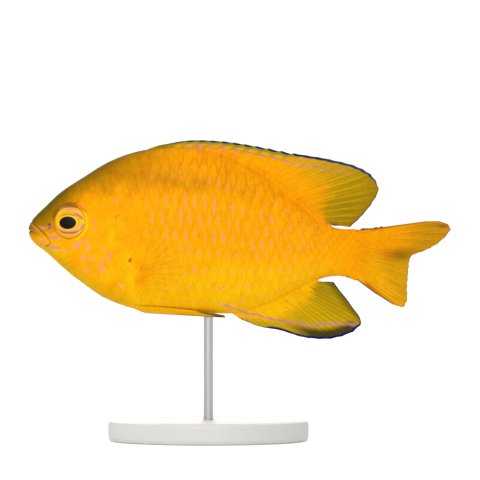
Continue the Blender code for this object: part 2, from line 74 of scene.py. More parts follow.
HALF_WIDTH = [(0, 0), (0.4, 1.25), (1.2, 2.0), (3.5, 3.0), (5.8, 3.8), (8.0, 4.45), (10.3, 5.1),
              (14.9, 6.0), (19.5, 6.4), (24.8, 6.5), (30.5, 6.3), (36.6, 5.7), (42.8, 4.7), (47.6, 3.8),
              (52.3, 2.95), (55.6, 2.4), (58.0, 2.05), (60.0, 1.8), (62.0, 1.6), (63.0, 1.0), (63.8, 0.42),
              (64.3, 0.1), (64.6, 0.02)]
WIDEST_AT = 0.48
BACK_POWER = 1.8
BELLY_POWER = 2.1
SWING_START = 40.0
SWING = 2.0
EYE_AT = (7.8, 1.4)
EYE_RADIUS = 3.1
EYE_DOME = 0.75
EYE_EDGE = -0.35
EYE_BOWL = 1.2
EYE_YAW = math.radians(14)
EYE_PITCH = math.radians(8)
NOSTRIL_AT = (4.0, 0.9)
NOSTRIL_RADIUS = 0.3
MOUTH_LINE = [(-1.0, -0.1), (0.0, -0.2), (1.2, -0.75), (2.5, -1.6), (3.3, -2.6)]
LIP_LINE = [(0.1, 2.6), (0.55, 1.35), (1.7, 0.35), (2.9, -0.7), (3.9, -1.9), (4.1, -2.8), (3.4, -3.2)]
GILL_LINE = [(21.5, 17.0), (20.3, 13.0), (18.3, 6.5), (18.4, 2.4), (19.5, -0.6), (19.8, -3.6),
             (18.9, -7.4), (16.7, -10.6), (14.6, -12.4), (13.2, -15.0)]
PECTORAL_AT = (20.6, -8.2)
DORSAL_RAYS = 27
DORSAL_SPINES = 13
DORSAL_KEYS = [(0, 22.6, (24.8, 16.0)), (3, 27.5, (30.6, 16.9)), (6, 33.3, (36.9, 16.7)),
               (9, 38.8, (43.2, 15.8)), (12, 44.3, (50.3, 14.45)), (15, 47.2, (57.0, 13.35)),
               (17.5, 49.3, (62.5, 11.9)), (19.5, 50.9, (65.4, 10.0)), (21, 52.0, (66.45, 7.7)),
               (22.5, 53.2, (65.4, 5.35)), (24.3, 55.2, (63.1, 2.5)), (26, 57.4, (60.9, 0.5))]
ANAL_RAYS = 16
ANAL_SPINES = 2
ANAL_KEYS = [(0, 38.6, (40.3, -17.1)), (1, 40.2, (42.6, -18.05)), (4, 43.0, (47.6, -19.15)),
             (7, 46.2, (53.0, -20.65)), (9.5, 48.8, (58.3, -20.6)), (11.3, 50.7, (62.0, -19.1)),
             (12.4, 51.7, (63.1, -17.5)), (13.6, 53.1, (61.3, -14.6)), (15, 54.9, (57.7, -10.0))]
SPINE_STEP = 0.06
DORSAL_LEAN = 1.2
ANAL_LEAN = -0.9
CAUDAL_RAYS = 19
CAUDAL_KEYS = [(0, -0.2, (75.5, 1.6)), (1.2, -0.8, (78.4, 1.55)), (2.2, -1.3, (80.0, 0.85)),
               (3, -1.65, (80.3, 0.0)), (4.5, -2.25, (78.5, -2.15)), (6.5, -3.1, (75.7, -3.85)),
               (8.5, -4.0, (72.9, -4.95)), (10, -4.65, (72.4, -6.0)), (12, -5.5, (72.15, -8.4)),
               (14.5, -6.6, (72.0, -11.4)), (16.3, -7.6, (71.9, -13.9)), (17.2, -8.6, (71.1, -14.85)),
               (18, -9.55, (69.2, -14.3))]
CAUDAL_BULGE = 0.2
BULGE_POWER = 6
LOWER_LOBE_CURL = 4.5
CURL_POWER = 1.6
PECTORAL_RAYS = 17
PECTORAL_ROOT_RADIUS = 1.3
PECTORAL_REACH = [10.9, 10.6, 10.0, 9.3, 8.6, 7.8, 7.0, 6.3]
PECTORAL_FAN = (math.radians(64), math.radians(-98))
PECTORAL_HINGE = math.radians(18)
PECTORAL_SPREAD = math.radians(45)
PECTORAL_CUP = 0.9
PECTORAL_EASE = 0.25
PECTORAL_OFF_FLANK = 0.85
PECTORAL_SUNK = 0.6
PELVIC_RAYS = 6
PELVIC_START = 18.6
PELVIC_LENGTH = 18.6
PELVIC_REACH = [(0.0, 1.0), (0.3, 0.98), (0.65, 0.9), (1.0, 0.8)]
PELVIC_WIDTHS = [(0.0, 1.2), (0.35, 1.6), (0.7, 1.3), (1.0, 0.8)]
PELVIC_INNER = [(0.0, 1.1), (0.4, 0.9), (0.7, 1.0), (1.0, 1.25)]
PELVIC_CLEAR = 0.5
PELVIC_DROOP = 0.5
PELVIC_SUNK = 1.2

# The skin: its grid, its tip ahead of the first ring, how far it lies inside the solids, and its ends
SKIN_RINGS = 300
SKIN_SIDES = 320
RING_CROWDING = 1.7
SNOUT_TIP = 0.02
COAT_DEPTH = 0.1
SKIN_END = 64.6
SCALES_END = 62.9

# Relief, in millimetres: how high a form rises (or sinks), how far off its line or spot, and its half width
JAW_LINE = [(1.2, -2.2), (2.6, -3.0), (3.4, -3.4), (4.4, -4.6)]
PREOPERCLE_LINE = [(13.0, 2.0), (13.5, -2.5), (13.0, -6.4), (11.9, -9.2), (9.6, -9.8)]
LINE_FORMS = [(MOUTH_LINE, 0.07, 0.42, 0.3), (LIP_LINE, -0.16, 0, 0.16), (JAW_LINE, -0.12, 0, 0.16),
              (PREOPERCLE_LINE, -0.08, 0, 0.22)]
SPOT_FORMS = [(NOSTRIL_AT, -0.4, 0, 0.8 * NOSTRIL_RADIUS), (NOSTRIL_AT, 0.1, 1.35 * NOSTRIL_RADIUS, 0.14),
              (PECTORAL_AT, 0.45, 0, 1.9)]
ORBIT_FORM = (0.1, 3.6, 0.38)
ORBIT_DROP = 1.4
MOUTH_CLEFT = 0.25
GILL_STEP = 0.07
GILL_FADE = 1.3

# Scales: rows from back to belly, pitch along the body, and how far a scale rises and sinks, in millimetres
SCALE_ROWS = 11
ROW_SHIFT = 0.021
SCALE_PITCH = 1.8
STALK_PITCH = 1.25
SCALE_START = 13.3
SCALE_HEIGHT = 1.06
SCALE_SUNK = 0.02
SCALE_CORNER = 2.4
SCALE_ROUNDING = 0.35
HEAD_ROWS = 24
HEAD_PITCH = 1.05
HEAD_SCALE_HEIGHT = 1.1
HEAD_SCALE_FROM = 5.0
HEAD_SCALE_TO = 21.0
MUZZLE_LINE = [(3.0, 6.0), (5.5, 0.0), (7.5, -5.0), (9.0, -12.0)]
PATCH = 0.003
SCALE_KEYS = ("u", "v", "u_along", "v_along", "u_up", "v_up", "canal", "strength", "length", "centre",
              "slant", "edge")

# The patterns of the scales, as (rings, spokes, rise, thickness), in shares of a scale and in millimetres
FLANK_PATTERN = ((0.3, 0.52, 0.7, 0.84, 0.94, 1.0), 30, 0.07, 0.03)
HEAD_PATTERN = ((0.5, 0.85, 1.0), 16, 0.07, 0.035)
FOOT_PATTERN = ((0.55, 0.88, 1.0), 14, 0.05, 0.03)

# The pink dash on a scale, as shares of the scale's half length and half height. Its length and slant are
# given for shares of the way from back to belly, and the jitters are how far chance moves and leans it
DASH_AT = 0.64
DASH_HALF = 0.085
AT_JITTER = 0.08
CENTRE_JITTER = 0.14
SLANT_JITTER = 0.3
DASH_LENGTHS = [(0.0, 0.08), (0.1, 0.1), (0.17, 0.14), (0.25, 0.3), (0.33, 0.42), (0.5, 0.4), (0.62, 0.34),
                (0.7, 0.3), (0.8, 0.32), (0.87, 0.15), (1.0, 0.1)]
DASH_SLANTS = [(0.0, 0.0), (0.2, -0.2), (0.33, 0.12), (0.42, 0.08), (0.5, 0.22), (0.6, 0.4), (0.7, 0.5),
               (0.84, 0.6), (1.0, 0.4)]
CANAL_ROW = 2
CANAL_SHIFT = -0.45
CANAL_RIDGE = 0.02
PORE_AT = 0.4

# How dark the free edge of a scale is
EDGE_SHADE = 0.02
HEAD_EDGE_SHADE = 0.02
CRESCENT_SHADE = 0.16

# Fins: how deep the foot is sunk in the body, half thicknesses, and where the body's gold gives way to olive
ROOT_SHARE = 0.1
ROOT_DEPTH = 1.4
MEMBRANE_HALF = 0.07
FOOT_HALF = 0.55
FOOT_FADE = 1.1
RIB_HALF = 0.14
RAY_SWELL = 0.012
CAUDAL_ROOT_DEPTH = 2.2
CAUDAL_FOOT_HALF = 1.2
CAUDAL_FOOT_FADE = 1.6
CAUDAL_MIDDLE = -4.87
CAUDAL_ROOT_HALF = 4.78
CLEAR_OPACITY = (0.06, 0.5, 0.12)
DORSAL_GOLD = [(0, 1.0), (11, 1.0), (12, 0.84), (14, 0.66), (18, 0.45), (21, 0.28), (24, 0.1), (26, 0.0)]
ANAL_GOLD = [(0, 0.55), (4, 0.5), (7, 0.42), (9.5, 0.26), (13.6, 0.12), (15, 0.05)]
CAUDAL_GOLD = [(0, 0.76), (3, 0.56), (6, 0.62), (8, 0.5), (10, 0.44), (12, 0.48), (18, 0.9)]
ANAL_LILAC = [(40.6, -15.65), (41.7, -15.95), (43.5, -16.2), (45.1, -16.75), (47.6, -17.3), (49.6, -17.55),
              (51.2, -17.8), (53.7, -18.35), (55.7, -17.9), (57.6, -17.8), (59.4, -18.0), (61.9, -18.1)]

# Small scales on the fins' feet, in millimetres, and how far up each ray they reach
FOOT_SCALE_ROWS = 12
FOOT_PITCH = 0.6
FOOT_SPACING = 0.72
FOOT_SCALE_LENGTH = 0.62
FOOT_SCALE_HALF = 0.44
DORSAL_SCALED = [(0, 0.35), (6, 0.5), (12, 0.5), (18, 0.4), (22, 0.3), (26, 0.1)]
ANAL_SCALED = [(0, 0.2), (4, 0.42), (9, 0.3), (15, 0.1)]
TAIL_SCALED = [(0, 0.35), (4, 0.42), (9, 0.3), (14, 0.42), (18, 0.35)]

# The eye's marks, as places in the side view
PUPIL_AT = (7.53, 1.24)
PUPIL_RADII = (1.6, 1.2)
EYE_RIM_AT = (8.18, 1.6)
EYE_RIM_RADII = (2.98, 2.8)
EYE_ARC = [(5.75, -0.1), (6.3, -0.42), (6.9, -0.6), (8.2, -0.68), (9.1, -0.5)]
EYE_SALMON = [(9.2, -0.3), (9.7, 0.1), (10.1, 0.8)]
EYE_REAR = [(9.1, -0.5), (9.9, -0.05), (10.45, 0.75)]
EYE_BROWN = [(6.5, 2.62), (7.6, 2.86), (8.8, 2.62)]
EYE_DASH = [(8.95, 2.95), (9.6, 2.6), (10.25, 2.1)]
EYE_RINGS = 70
EYE_SIDES = 140

# Light: the sky, the floor's glow to the eye, and soft suns as (name, azimuth, elevation, strength, spread)
SKY_STRENGTH = 0.55
SKY_SEEN = 1.05
FLOOR_LIGHT = 0.12
FLOOR_GLOW = 0.4
SUNS = [("key", 20, 40, 0.32, 50), ("fill", 0, 5, 0.18, 60), ("far_side", 180, 35, 0.42, 50)]

# The camera looks level from the fish's left, and the photo's frame is this wide at the fish
CAMERA_AWAY = 800.0
FRAME_WIDTH = 91.0
FRAME_MIDDLE = 38.1
SENSOR = 36.0
FLOOR_RADIUS = 3000.0


def linear(red, green, blue):
    """A colour given as 0 to 255 on screen, as the linear numbers that shaders use."""
    share = np.array([red, green, blue]) / 255
    return np.where(share <= 0.04045, share / 12.92, ((share + 0.055) / 1.055) ** 2.4)


# Skin
GOLD = linear(252, 168, 4)
UPPER_GOLD = linear(250, 160, 3)
BELLY_YELLOW = linear(254, 192, 5)
CHEEK_GOLD = linear(251, 171, 5)
ROOT_ORANGE = linear(254, 158, 1)
PALE_GOLD = linear(254, 194, 4)
# Painted shade: a duller gold towards the chin's lower edge, where the underside turns from the light
CHIN_SHADE = linear(233, 174, 6)
NAPE = linear(180, 122, 5)
# Painted shade along the outline, where the surface turns away from the light
OUTLINE_SHADE_DARK = linear(62, 56, 8)
OUTLINE_SHADE_OLIVE = linear(146, 114, 8)
OUTLINE_SHADE_BROWN = linear(150, 105, 10)

# Marks
PINK = linear(250, 156, 116)
PALE_PINK = linear(252, 176, 140)
VIOLET = linear(168, 84, 112)
ROSE = linear(220, 142, 118)
RUST = linear(214, 112, 20)
BROW = linear(140, 88, 10)
BROW_GOLD = linear(214, 142, 8)
DARK_SPOT = linear(110, 50, 4)
GREEN_SPOT = linear(60, 62, 20)
DARK = linear(48, 36, 6)
LIP = linear(234, 160, 16)
# Painted shade for the creases and hollows of lip groove, mouth slit and nostril
CREASE_SHADE = linear(132, 76, 4)

# Fins
NAVY = linear(20, 14, 88)
TEAL = linear(14, 62, 96)
PALE_LINE = linear(190, 160, 150)
BLACKISH = linear(40, 44, 20)
GREEN_OLIVE = linear(146, 136, 8)
BAND_YELLOW = linear(226, 174, 10)
SOFT_GOLD = linear(214, 164, 8)
SOFT_OLIVE = linear(160, 130, 6)
RAY_SHADE = linear(146, 112, 5)
RAY_GOLD = linear(236, 180, 12)
# Partly the pelvic fin's own yellow, partly painted lighter to make up for the shade on its downward-facing
# blade
PELVIC_GOLD_LIGHTENED = linear(253, 190, 10)
LILAC = linear(196, 126, 148)
ROSE_LILAC = linear(198, 128, 140)
ANAL_OLIVE = linear(206, 166, 8)
DARK_OLIVE = linear(104, 94, 2)
BROWN = linear(150, 94, 16)
TAIL_ORANGE = linear(251, 161, 3)
TAIL_UPPER = linear(208, 142, 8)
TAIL_LOWER = linear(220, 156, 8)
TAIL_BROWN = linear(158, 106, 6)
TAIL_YELLOW = linear(214, 164, 14)
TAIL_RED = linear(238, 110, 6)
# Painted lighter than the tail fin's own orange, to offset the darker shading of its root beside the body
TAIL_ROOT_LIGHTENED = linear(255, 168, 4)
LOWER_ROOT = linear(255, 178, 5)
TAIL_EDGE = linear(170, 88, 10)
# A purple-brown for the tail fin's smudge, and for painted shadow at the dorsal fin's rear root
TAIL_SMUDGE_AND_SHADOW = linear(136, 84, 44)
CLEAR_YELLOW = linear(255, 174, 4)
CLEAR_RAY = linear(255, 204, 12)

# Eye
RING_YELLOW = linear(252, 200, 16)
IRIS_YELLOW = linear(248, 176, 8)
PUPIL_RING = linear(255, 214, 46)
PUPIL = linear(16, 13, 11)

# Marks on head and body as (line, half width, colour, strength)
HEAD_MARKS = [
    ([(1.0, 0.1), (1.3, 0.0)], 0.3, VIOLET, 0.6),
    ([(2.25, 0.15), (3.3, 0.2), (4.6, 0.5)], 0.26, ROSE, 0.8),
    ([(3.95, 0.3), (4.3, 0.4)], 0.32, VIOLET, 0.8),
    ([(2.5, -2.15), (2.85, -2.35)], 0.44, PINK, 0.85),
    ([(4.2, -1.5), (5.2, -1.6)], 0.34, VIOLET, 0.3),
    ([(4.2, -1.5), (5.2, -1.6), (6.4, -1.15)], 0.3, ROSE, 0.85),
    ([(3.7, -3.75), (4.6, -3.3)], 0.3, VIOLET, 0.2),
    ([(3.7, -3.75), (4.6, -3.3), (5.9, -3.5)], 0.28, ROSE, 0.85),
    ([(6.8, -3.7), (7.2, -4.3)], 0.3, PINK, 0.35),
    ([(9.2, -3.1), (9.65, -2.8)], 0.5, PINK, 0.8),
    ([(8.7, -3.4), (9.2, -3.3)], 0.35, PINK, 0.6),
    ([(10.8, -2.25), (11.0, -2.05)], 0.32, PINK, 0.85),
    ([(11.6, -3.05), (11.2, -4.1)], 0.24, PALE_PINK, 0.9),
    ([(10.15, -5.4), (10.4, -5.2)], 0.36, PINK, 0.85),
    ([(11.85, -5.3), (11.9, -5.85)], 0.27, PINK, 0.85),
    ([(12.7, -5.3), (12.75, -5.4)], 0.26, PINK, 0.5),
    ([(14.15, -5.8), (13.6, -6.7), (13.75, -7.3)], 0.28, PINK, 0.8),
    ([(13.8, -7.6), (14.3, -7.7)], 0.42, PINK, 0.6),
    ([(10.9, -7.7), (11.1, -7.6)], 0.42, PINK, 0.5),
    ([(15.55, -4.3), (15.2, -6.05)], 0.28, PINK, 0.7),
    ([(14.3, -3.6), (14.3, -4.0)], 0.3, PINK, 0.45),
    ([(17.5, -10.3), (17.6, -10.5)], 0.3, PALE_PINK, 1.0),
    ([(12.4, 0.2), (12.5, -0.3)], 0.24, ROSE, 0.4),
    ([(12.6, 1.6), (12.6, 1.1)], 0.24, ROSE, 0.35),
    ([(16.6, 5.8), (16.7, 5.4)], 0.28, ROSE, 0.3),
    ([(15.9, -0.5), (15.75, -3.4)], 0.7, PALE_GOLD, 0.55),
    ([(16.1, -8.0), (14.4, -10.0)], 1.1, PALE_GOLD, 0.5),
    ([(16.62, 2.15), (16.7, 2.3)], 0.14, GREEN_SPOT, 0.95),
    ([(16.95, 2.5), (17.0, 2.6)], 0.13, GREEN_SPOT, 0.8),
    ([(20.6, -6.3), (21.7, -7.6), (21.4, -9.6)], 1.0, ROOT_ORANGE, 0.7),
    ([(19.15, -5.95), (19.45, -5.5)], 0.15, DARK_SPOT, 0.95),
    ([(4.7, 2.2), (5.15, 3.4), (6.1, 4.4), (7.3, 4.85), (9.0, 4.8)], 0.26, BROW, 0.8),
    ([(6.1, 3.95), (7.2, 4.3), (8.6, 4.35)], 0.14, ROSE, 0.7),
    ([(8.75, 4.05), (9.35, 4.4)], 0.14, DARK, 0.9),
    ([(9.7, 4.75), (10.3, 4.35)], 0.17, PINK, 0.8),
    ([(9.7, 4.5), (10.9, 3.4)], 0.22, RUST, 0.8),
    ([(36.7, -14.3), (38.2, -14.7), (39.6, -15.2), (40.6, -15.55)], 0.22, LILAC, 0.6),
]
EYE_MARKS = [(EYE_BROWN, 0.13, BROW, 0.6), (EYE_ARC, 0.34, ROSE, 0.6), (EYE_SALMON, 0.3, PALE_PINK, 0.85),
             (EYE_ARC, 0.2, VIOLET, 0.95), (EYE_REAR, 0.12, VIOLET, 0.8), (EYE_DASH, 0.3, PINK, 0.6),
             (EYE_DASH, 0.16, VIOLET, 0.85)]
RING_MARK = [(9.3, -1.75), (10.3, -0.9), (11.0, 0.3), (11.1, 1.7), (10.7, 2.9)]

# The nape's depth and strength along the body, and its tones, from the outline inwards, as screen colours
NAPE_DEPTHS = [(0, 2.4), (2, 3.2), (5, 4.4), (8, 5.0), (11.5, 4.4), (14.3, 6.2), (17, 6.8), (20, 7.2),
               (24, 7.0), (30, 5.0)]
NAPE_STRENGTHS = [(0, 1.0), (14, 1.0), (17, 0.8), (20, 0.62), (23, 0.42), (26, 0.22), (30, 0.0)]
NAPE_TONES = [(0.0, (84, 68, 8)), (0.07, (106, 84, 8)), (0.22, (152, 108, 6)), (0.6, (194, 129, 5)),
              (0.85, (218, 142, 4)), (1.1, (248, 160, 3))]
SNOUT_TONES = [(0.0, (60, 52, 8)), (0.09, (96, 80, 8)), (0.45, (134, 102, 6)), (0.8, (166, 118, 8)),
               (1.2, (202, 141, 10)), (1.6, (244, 168, 8))]


def smooth(low, high, value):
    """0 below low, 1 above high, and a smooth step between."""
    t = np.clip((value - low) / (high - low), 0, 1)
    return t * t * (3 - 2 * t)


def fall(low, high, value):
    """1 below low, 0 above high, and a smooth step between."""
    return 1 - smooth(low, high, value)


def hump(distance, width):
    """1 at no distance, falling off softly on both sides."""
    return np.exp(-((distance / width) ** 2))


def mix(first, second, share):
    """Colours blended by a share for each place."""
    share = np.clip(share, 0, 1)[..., None]
    return first * (1 - share) + second * share


def layered(colour, *layers):
    """A colour with layers of (colour, share) laid over it, one after another."""
    for layer, share in layers:
        colour = mix(colour, layer, share)
    return colour


def curve_through(points, at):
    """Values of a smooth curve through (place, value) points."""
    places, values = np.array(points, float).T
    slopes = np.gradient(values, places)
    at = np.clip(at, places[0], places[-1])
    i = np.clip(np.searchsorted(places, at) - 1, 0, len(places) - 2)
    step = places[i + 1] - places[i]
    t = (at - places[i]) / step
    return ((1 + 2 * t) * (1 - t) ** 2 * values[i] + t * (1 - t) ** 2 * step * slopes[i]
            + t * t * (3 - 2 * t) * values[i + 1] + t * t * (t - 1) * step * slopes[i + 1])


def smooth_line(points, steps=4):
    """More points on a smooth curve through those given."""
    marks = np.linspace(0, len(points) - 1, (len(points) - 1) * steps + 1)
    behind, above = (curve_through(list(enumerate(values)), marks) for values in zip(*points))
    return list(zip(behind, above))


def mottle(x, y, size, seed):
    """Soft patches of brightness between -1 and 1, about one size apart."""
    cells = np.random.default_rng(seed).uniform(-1, 1, (64, 64))
    x, y = np.asarray(x) / size, np.asarray(y) / size
    column, row = np.floor(x).astype(int), np.floor(y).astype(int)
    u, v = smooth(0, 1, x - column), smooth(0, 1, y - row)
    corner = [cells[(row + j) % 64, (column + i) % 64] for j in (0, 1) for i in (0, 1)]
    return (corner[0] * (1 - u) + corner[1] * u) * (1 - v) + (corner[2] * (1 - u) + corner[3] * u) * v


def line_distance(behind, above, line):
    """Distance to a line in the side view, and 1 or -1 for the side of it."""
    best = np.full(np.shape(behind), np.inf)
    hand = np.zeros(np.shape(behind))
    for (b0, a0), (b1, a1) in zip(line, line[1:]):
        along = np.clip(((behind - b0) * (b1 - b0) + (above - a0) * (a1 - a0))
                        / ((b1 - b0) ** 2 + (a1 - a0) ** 2), 0, 1)
        away = np.hypot(behind - b0 - along * (b1 - b0), above - a0 - along * (a1 - a0))
        turn = np.sign((b1 - b0) * (above - a0) - (a1 - a0) * (behind - b0))
        hand = np.where(away < best, turn, hand)
        best = np.minimum(away, best)
    return best, hand


def from_curve(behind, above, points):
    """Distance to the smooth curve through some points in the side view."""
    return line_distance(behind, above, smooth_line(points))[0]


def swing(behind):
    """How far the tail's swing carries a place towards +Y."""
    share = np.maximum(0, behind - SWING_START) / (STANDARD_LENGTH - SWING_START)
    return SWING * share * share


def world(points):
    """Points in metres, from (behind, across, above) on the fish in millimetres."""
    behind, across, above = np.moveaxis(points, -1, 0)
    return np.stack([behind - TOTAL_LENGTH / 2, across + swing(behind), above + SNOUT_HEIGHT], -1) * MM


def blunt_curve(points, behind):
    """As curve_through, but rounded off at the snout's tip."""
    rooted = [(math.sqrt(place), value) for place, value in points]
    return curve_through(rooted, np.sqrt(np.maximum(behind, 0)))


def outline(behind):
    """The height of belly and back, and of the widest place between them."""
    low, high = blunt_curve(BELLY, behind), blunt_curve(BACK, behind)
    return low, high, low + (high - low) * WIDEST_AT


def body_point(behind, around):
    """The body's surface: around is 0 on the back, a quarter turn on the right flank, half on the belly."""
    low, high, widest = outline(behind)
    up = np.cos(around)
    out = np.sin(around)
    power = np.where(up > 0, BACK_POWER, BELLY_POWER)
    above = widest + np.sign(up) * np.abs(up) ** (2 / power) * np.where(up > 0, high - widest, widest - low)
    across = np.sign(out) * np.abs(out) ** (2 / power) * blunt_curve(HALF_WIDTH, behind)
    return np.stack([behind + 0 * around, across, above], -1)


def side(behind, above):
    """The body's half width at places of its side view."""
    low, high, widest = outline(behind)
    top = above > widest
    reach = np.where(top, (above - widest) / (high - widest), (widest - above) / (widest - low))
    power = np.where(top, BACK_POWER, BELLY_POWER)
    return blunt_curve(HALF_WIDTH, behind) * np.maximum(0, 1 - np.minimum(1, reach) ** power) ** (1 / power)


ARC_RINGS = np.linspace(0, math.sqrt(SKIN_END), 220) ** 2
ARC_SHARES = np.linspace(0, 1, 121)


def arc_turns():
    """For rings along the body, the turn at each share of the way from back to belly."""
    turns = np.linspace(0, math.pi, 241)
    rings = ARC_RINGS.copy()
    rings[0] = rings[1] / 2
    steps = np.linalg.norm(np.diff(body_point(rings[:, None], turns[None, :]), axis=1), axis=2)
    arcs = np.concatenate([np.zeros((len(rings), 1)), np.cumsum(steps, axis=1)], axis=1)
    return np.array([np.interp(ARC_SHARES, arc / arc[-1], turns) for arc in arcs])


ARC_TURNS = arc_turns()


def folded(share):
    """A share of the way round, as one from back to belly on either flank."""
    return np.abs((share + 1) % 2 - 1)


def around_at(behind, share):
    """The turn at a share of the way from back to belly. Past 0 or 1 it goes on down the other flank."""
    row = np.interp(behind, ARC_RINGS, np.arange(len(ARC_RINGS)))
    column = folded(share) * (len(ARC_SHARES) - 1)
    i = np.minimum(row.astype(int), len(ARC_RINGS) - 2)
    j = np.minimum(column.astype(int), len(ARC_SHARES) - 2)
    u, v = row - i, column - j
    turn = ((ARC_TURNS[i, j] * (1 - u) + ARC_TURNS[i + 1, j] * u) * (1 - v)
            + (ARC_TURNS[i, j + 1] * (1 - u) + ARC_TURNS[i + 1, j + 1] * u) * v)
    return np.where((share % 2) > 1, -turn, turn)


def eye_axes():
    """The left eye's middle on the skin, mirrored to the right flank, and the way that it looks out."""
    middle = np.array([EYE_AT[0], float(side(np.array(EYE_AT[0]), np.array(EYE_AT[1]))), EYE_AT[1]])
    out = np.array([-math.sin(EYE_YAW), math.cos(EYE_YAW), math.sin(EYE_PITCH)])
    return middle, out / np.linalg.norm(out)


EYE_MIDDLE, EYE_OUT = eye_axes()


def eye_distance(points):
    """How far points lie from the axis of the eye on their own flank."""
    from_eye = points * [1, 0, 1] + np.abs(points) * [0, 1, 0] - EYE_MIDDLE
    along = (from_eye @ EYE_OUT)[..., None]
    return np.linalg.norm(from_eye - along * EYE_OUT, axis=-1)


def relief(points):
    """How far the skin stands out from the plain body, in millimetres."""
    behind, _, above = np.moveaxis(points, -1, 0)
    out = -COAT_DEPTH * smooth(0, 4, behind)
    for line, height, off, width in LINE_FORMS:
        out = out + height * hump(from_curve(behind, above, line) - off, width)
    for (spot_behind, spot_above), height, off, width in SPOT_FORMS:
        out = out + height * hump(np.hypot(behind - spot_behind, above - spot_above) - off, width)
    cleft = hump(from_curve(behind, above, MOUTH_LINE), 0.14)
    out = out - MOUTH_CLEFT * cleft * (1 - 0.6 * smooth(0.6, 2.0, behind))
    height, off, width = ORBIT_FORM
    eye = eye_distance(points)
    out = out + height * hump(eye - off, width) - ORBIT_DROP * fall(2.8, 3.25, eye)
    gill, hand = line_distance(behind, above, smooth_line(GILL_LINE))
    step = np.where(hand > 0, -hump(gill, 0.45), np.exp(-gill / GILL_FADE) * smooth(0, 0.25, gill))
    return out + GILL_STEP * fall(2.0, 5.0, above) * step


def skin_surface(behind, share, lift=0.0):
    """Points on the skin, raised by lift along its normal."""
    around = around_at(behind, share)
    step = 0.02
    along = (body_point(np.minimum(behind + step, SKIN_END), around)
             - body_point(np.maximum(behind - step, 1e-4), around))
    round_it = body_point(behind, around + step) - body_point(behind, around - step)
    normal = unit(np.cross(round_it, along))
    points = body_point(behind, around)
    centre = np.stack([behind, 0 * behind, outline(behind)[2]], -1)
    outward = np.sign(np.sum((points - centre) * normal, axis=-1, keepdims=True))
    normal = normal * np.where(outward == 0, 1, outward)
    return points + normal * (relief(points) + lift)[..., None]


def unit(vectors):
    """The vectors, each as long as 1."""
    return vectors / np.maximum(np.linalg.norm(vectors, axis=-1, keepdims=True), 1e-9)


def scale_columns():
    """Where each column of scales lies along the body. The pitch shrinks over the tail's stalk."""
    places = [SCALE_START]
    while places[-1] < SKIN_END - STALK_PITCH:
        shrink = smooth(46.0, 60.0, places[-1])
        places.append(places[-1] + SCALE_PITCH + (STALK_PITCH - SCALE_PITCH) * shrink)
    return np.array(places)


SCALE_COLUMNS = scale_columns()


def dash_strength(behind, share):
    """How clear the pink dash is on the scales of a place."""
    along = smooth(20.0, 24.5, behind) * fall(47.0, 59.0, behind)
    upper = smooth(0.02, 0.3, share) * 0.6 + 0.4 * smooth(0.26, 0.34, share)
    lower = 1 - 0.6 * smooth(0.55, 0.65, share) * fall(27.0, 30.0, behind)
    return along * (0.25 + 0.75 * upper) * lower


def crescents(behind, share):
    """How dark the free edges of the scales are: brown crescents show below the dorsal fin's front."""
    along = smooth(20.0, 25.0, behind) * fall(40.0, 52.0, behind)
    return along * smooth(0.03, 0.08, share) * fall(0.2, 0.34, share)


def skin_dashes(behind, share):
    """The share of pink on bare skin, where the dashes of the scales lie."""
    row = np.round((share - ROW_SHIFT) * SCALE_ROWS - 0.5)
    place = np.interp(behind, SCALE_COLUMNS, np.arange(len(SCALE_COLUMNS))) - DASH_AT - 0.5 * (row % 2)
    along = np.abs(place - np.round(place)) * SCALE_PITCH
    up = np.abs((share - ROW_SHIFT) * SCALE_ROWS - 0.5 - row)
    length = curve_through(DASH_LENGTHS, share)
    return fall(0.1, 0.3, along) * fall(length * 0.8, length * 1.2, up) * dash_strength(behind, share)


def toned(tones, share):
    """Colours along a row of (place, screen colour)."""
    colours = np.array([linear(*tone) for _, tone in tones])
    return np.stack([np.interp(share, [place for place, _ in tones], channel) for channel in colours.T], -1)


def flesh_tones(behind, above, low, high, down):
    """Gold flanks, a yellower belly, an orange stalk, a mottled brown nape, and painted shade under the chin.
    """
    place = down + 0.06 * mottle(behind, above, 2.4, 7)
    nape = curve_through(NAPE_DEPTHS, behind) * (1 + 0.16 * mottle(behind, above, 1.6, 3)
                                                 + 0.14 * mottle(behind, above, 0.6, 4))
    in_nape = (high - above) / nape
    shoulder = hump(np.hypot((behind - 26) / 7.0, above - 9.3 + 0.12 * (behind - 26)), 1.7)
    return layered(
        mix(UPPER_GOLD, GOLD, smooth(0.12, 0.4, place)),
        (BELLY_YELLOW, smooth(0.5, 0.85, place) * (1 - 0.6 * smooth(46, 58, behind))),
        (CHEEK_GOLD, fall(15, 20, behind) * smooth(4, 9, behind) * smooth(0.35, 0.5, down)),
        # Painted shade towards the lower edge of the head
        (CHIN_SHADE, fall(14, 24, behind) * fall(0.8, 3.6, above - low)),
        (TAIL_ORANGE, 0.9 * smooth(55.0, 63.0, behind)),
        (toned(NAPE_TONES, in_nape), fall(1.0, 1.3, in_nape) * curve_through(NAPE_STRENGTHS, behind)),
        (toned(SNOUT_TONES, in_nape), fall(1.5, 1.8, in_nape) * fall(4.0, 9.5, behind)),
        (NAPE, 0.45 * shoulder * (1 + 0.4 * mottle(behind, above, 1.2, 8))))


def mark_layers(behind, above):
    """The drawn marks of head and body, and the yellow arc behind the eye."""
    ragged = 0.1 * mottle(behind, above, 0.5, 9)
    for line, half, mark, strength in HEAD_MARKS:
        away = line_distance(behind, above, line)[0]
        yield mark, strength * fall(half * 0.2, half * 1.6, away + ragged)
    yield RING_YELLOW, 0.85 * fall(0.15, 0.45, from_curve(behind, above, RING_MARK))


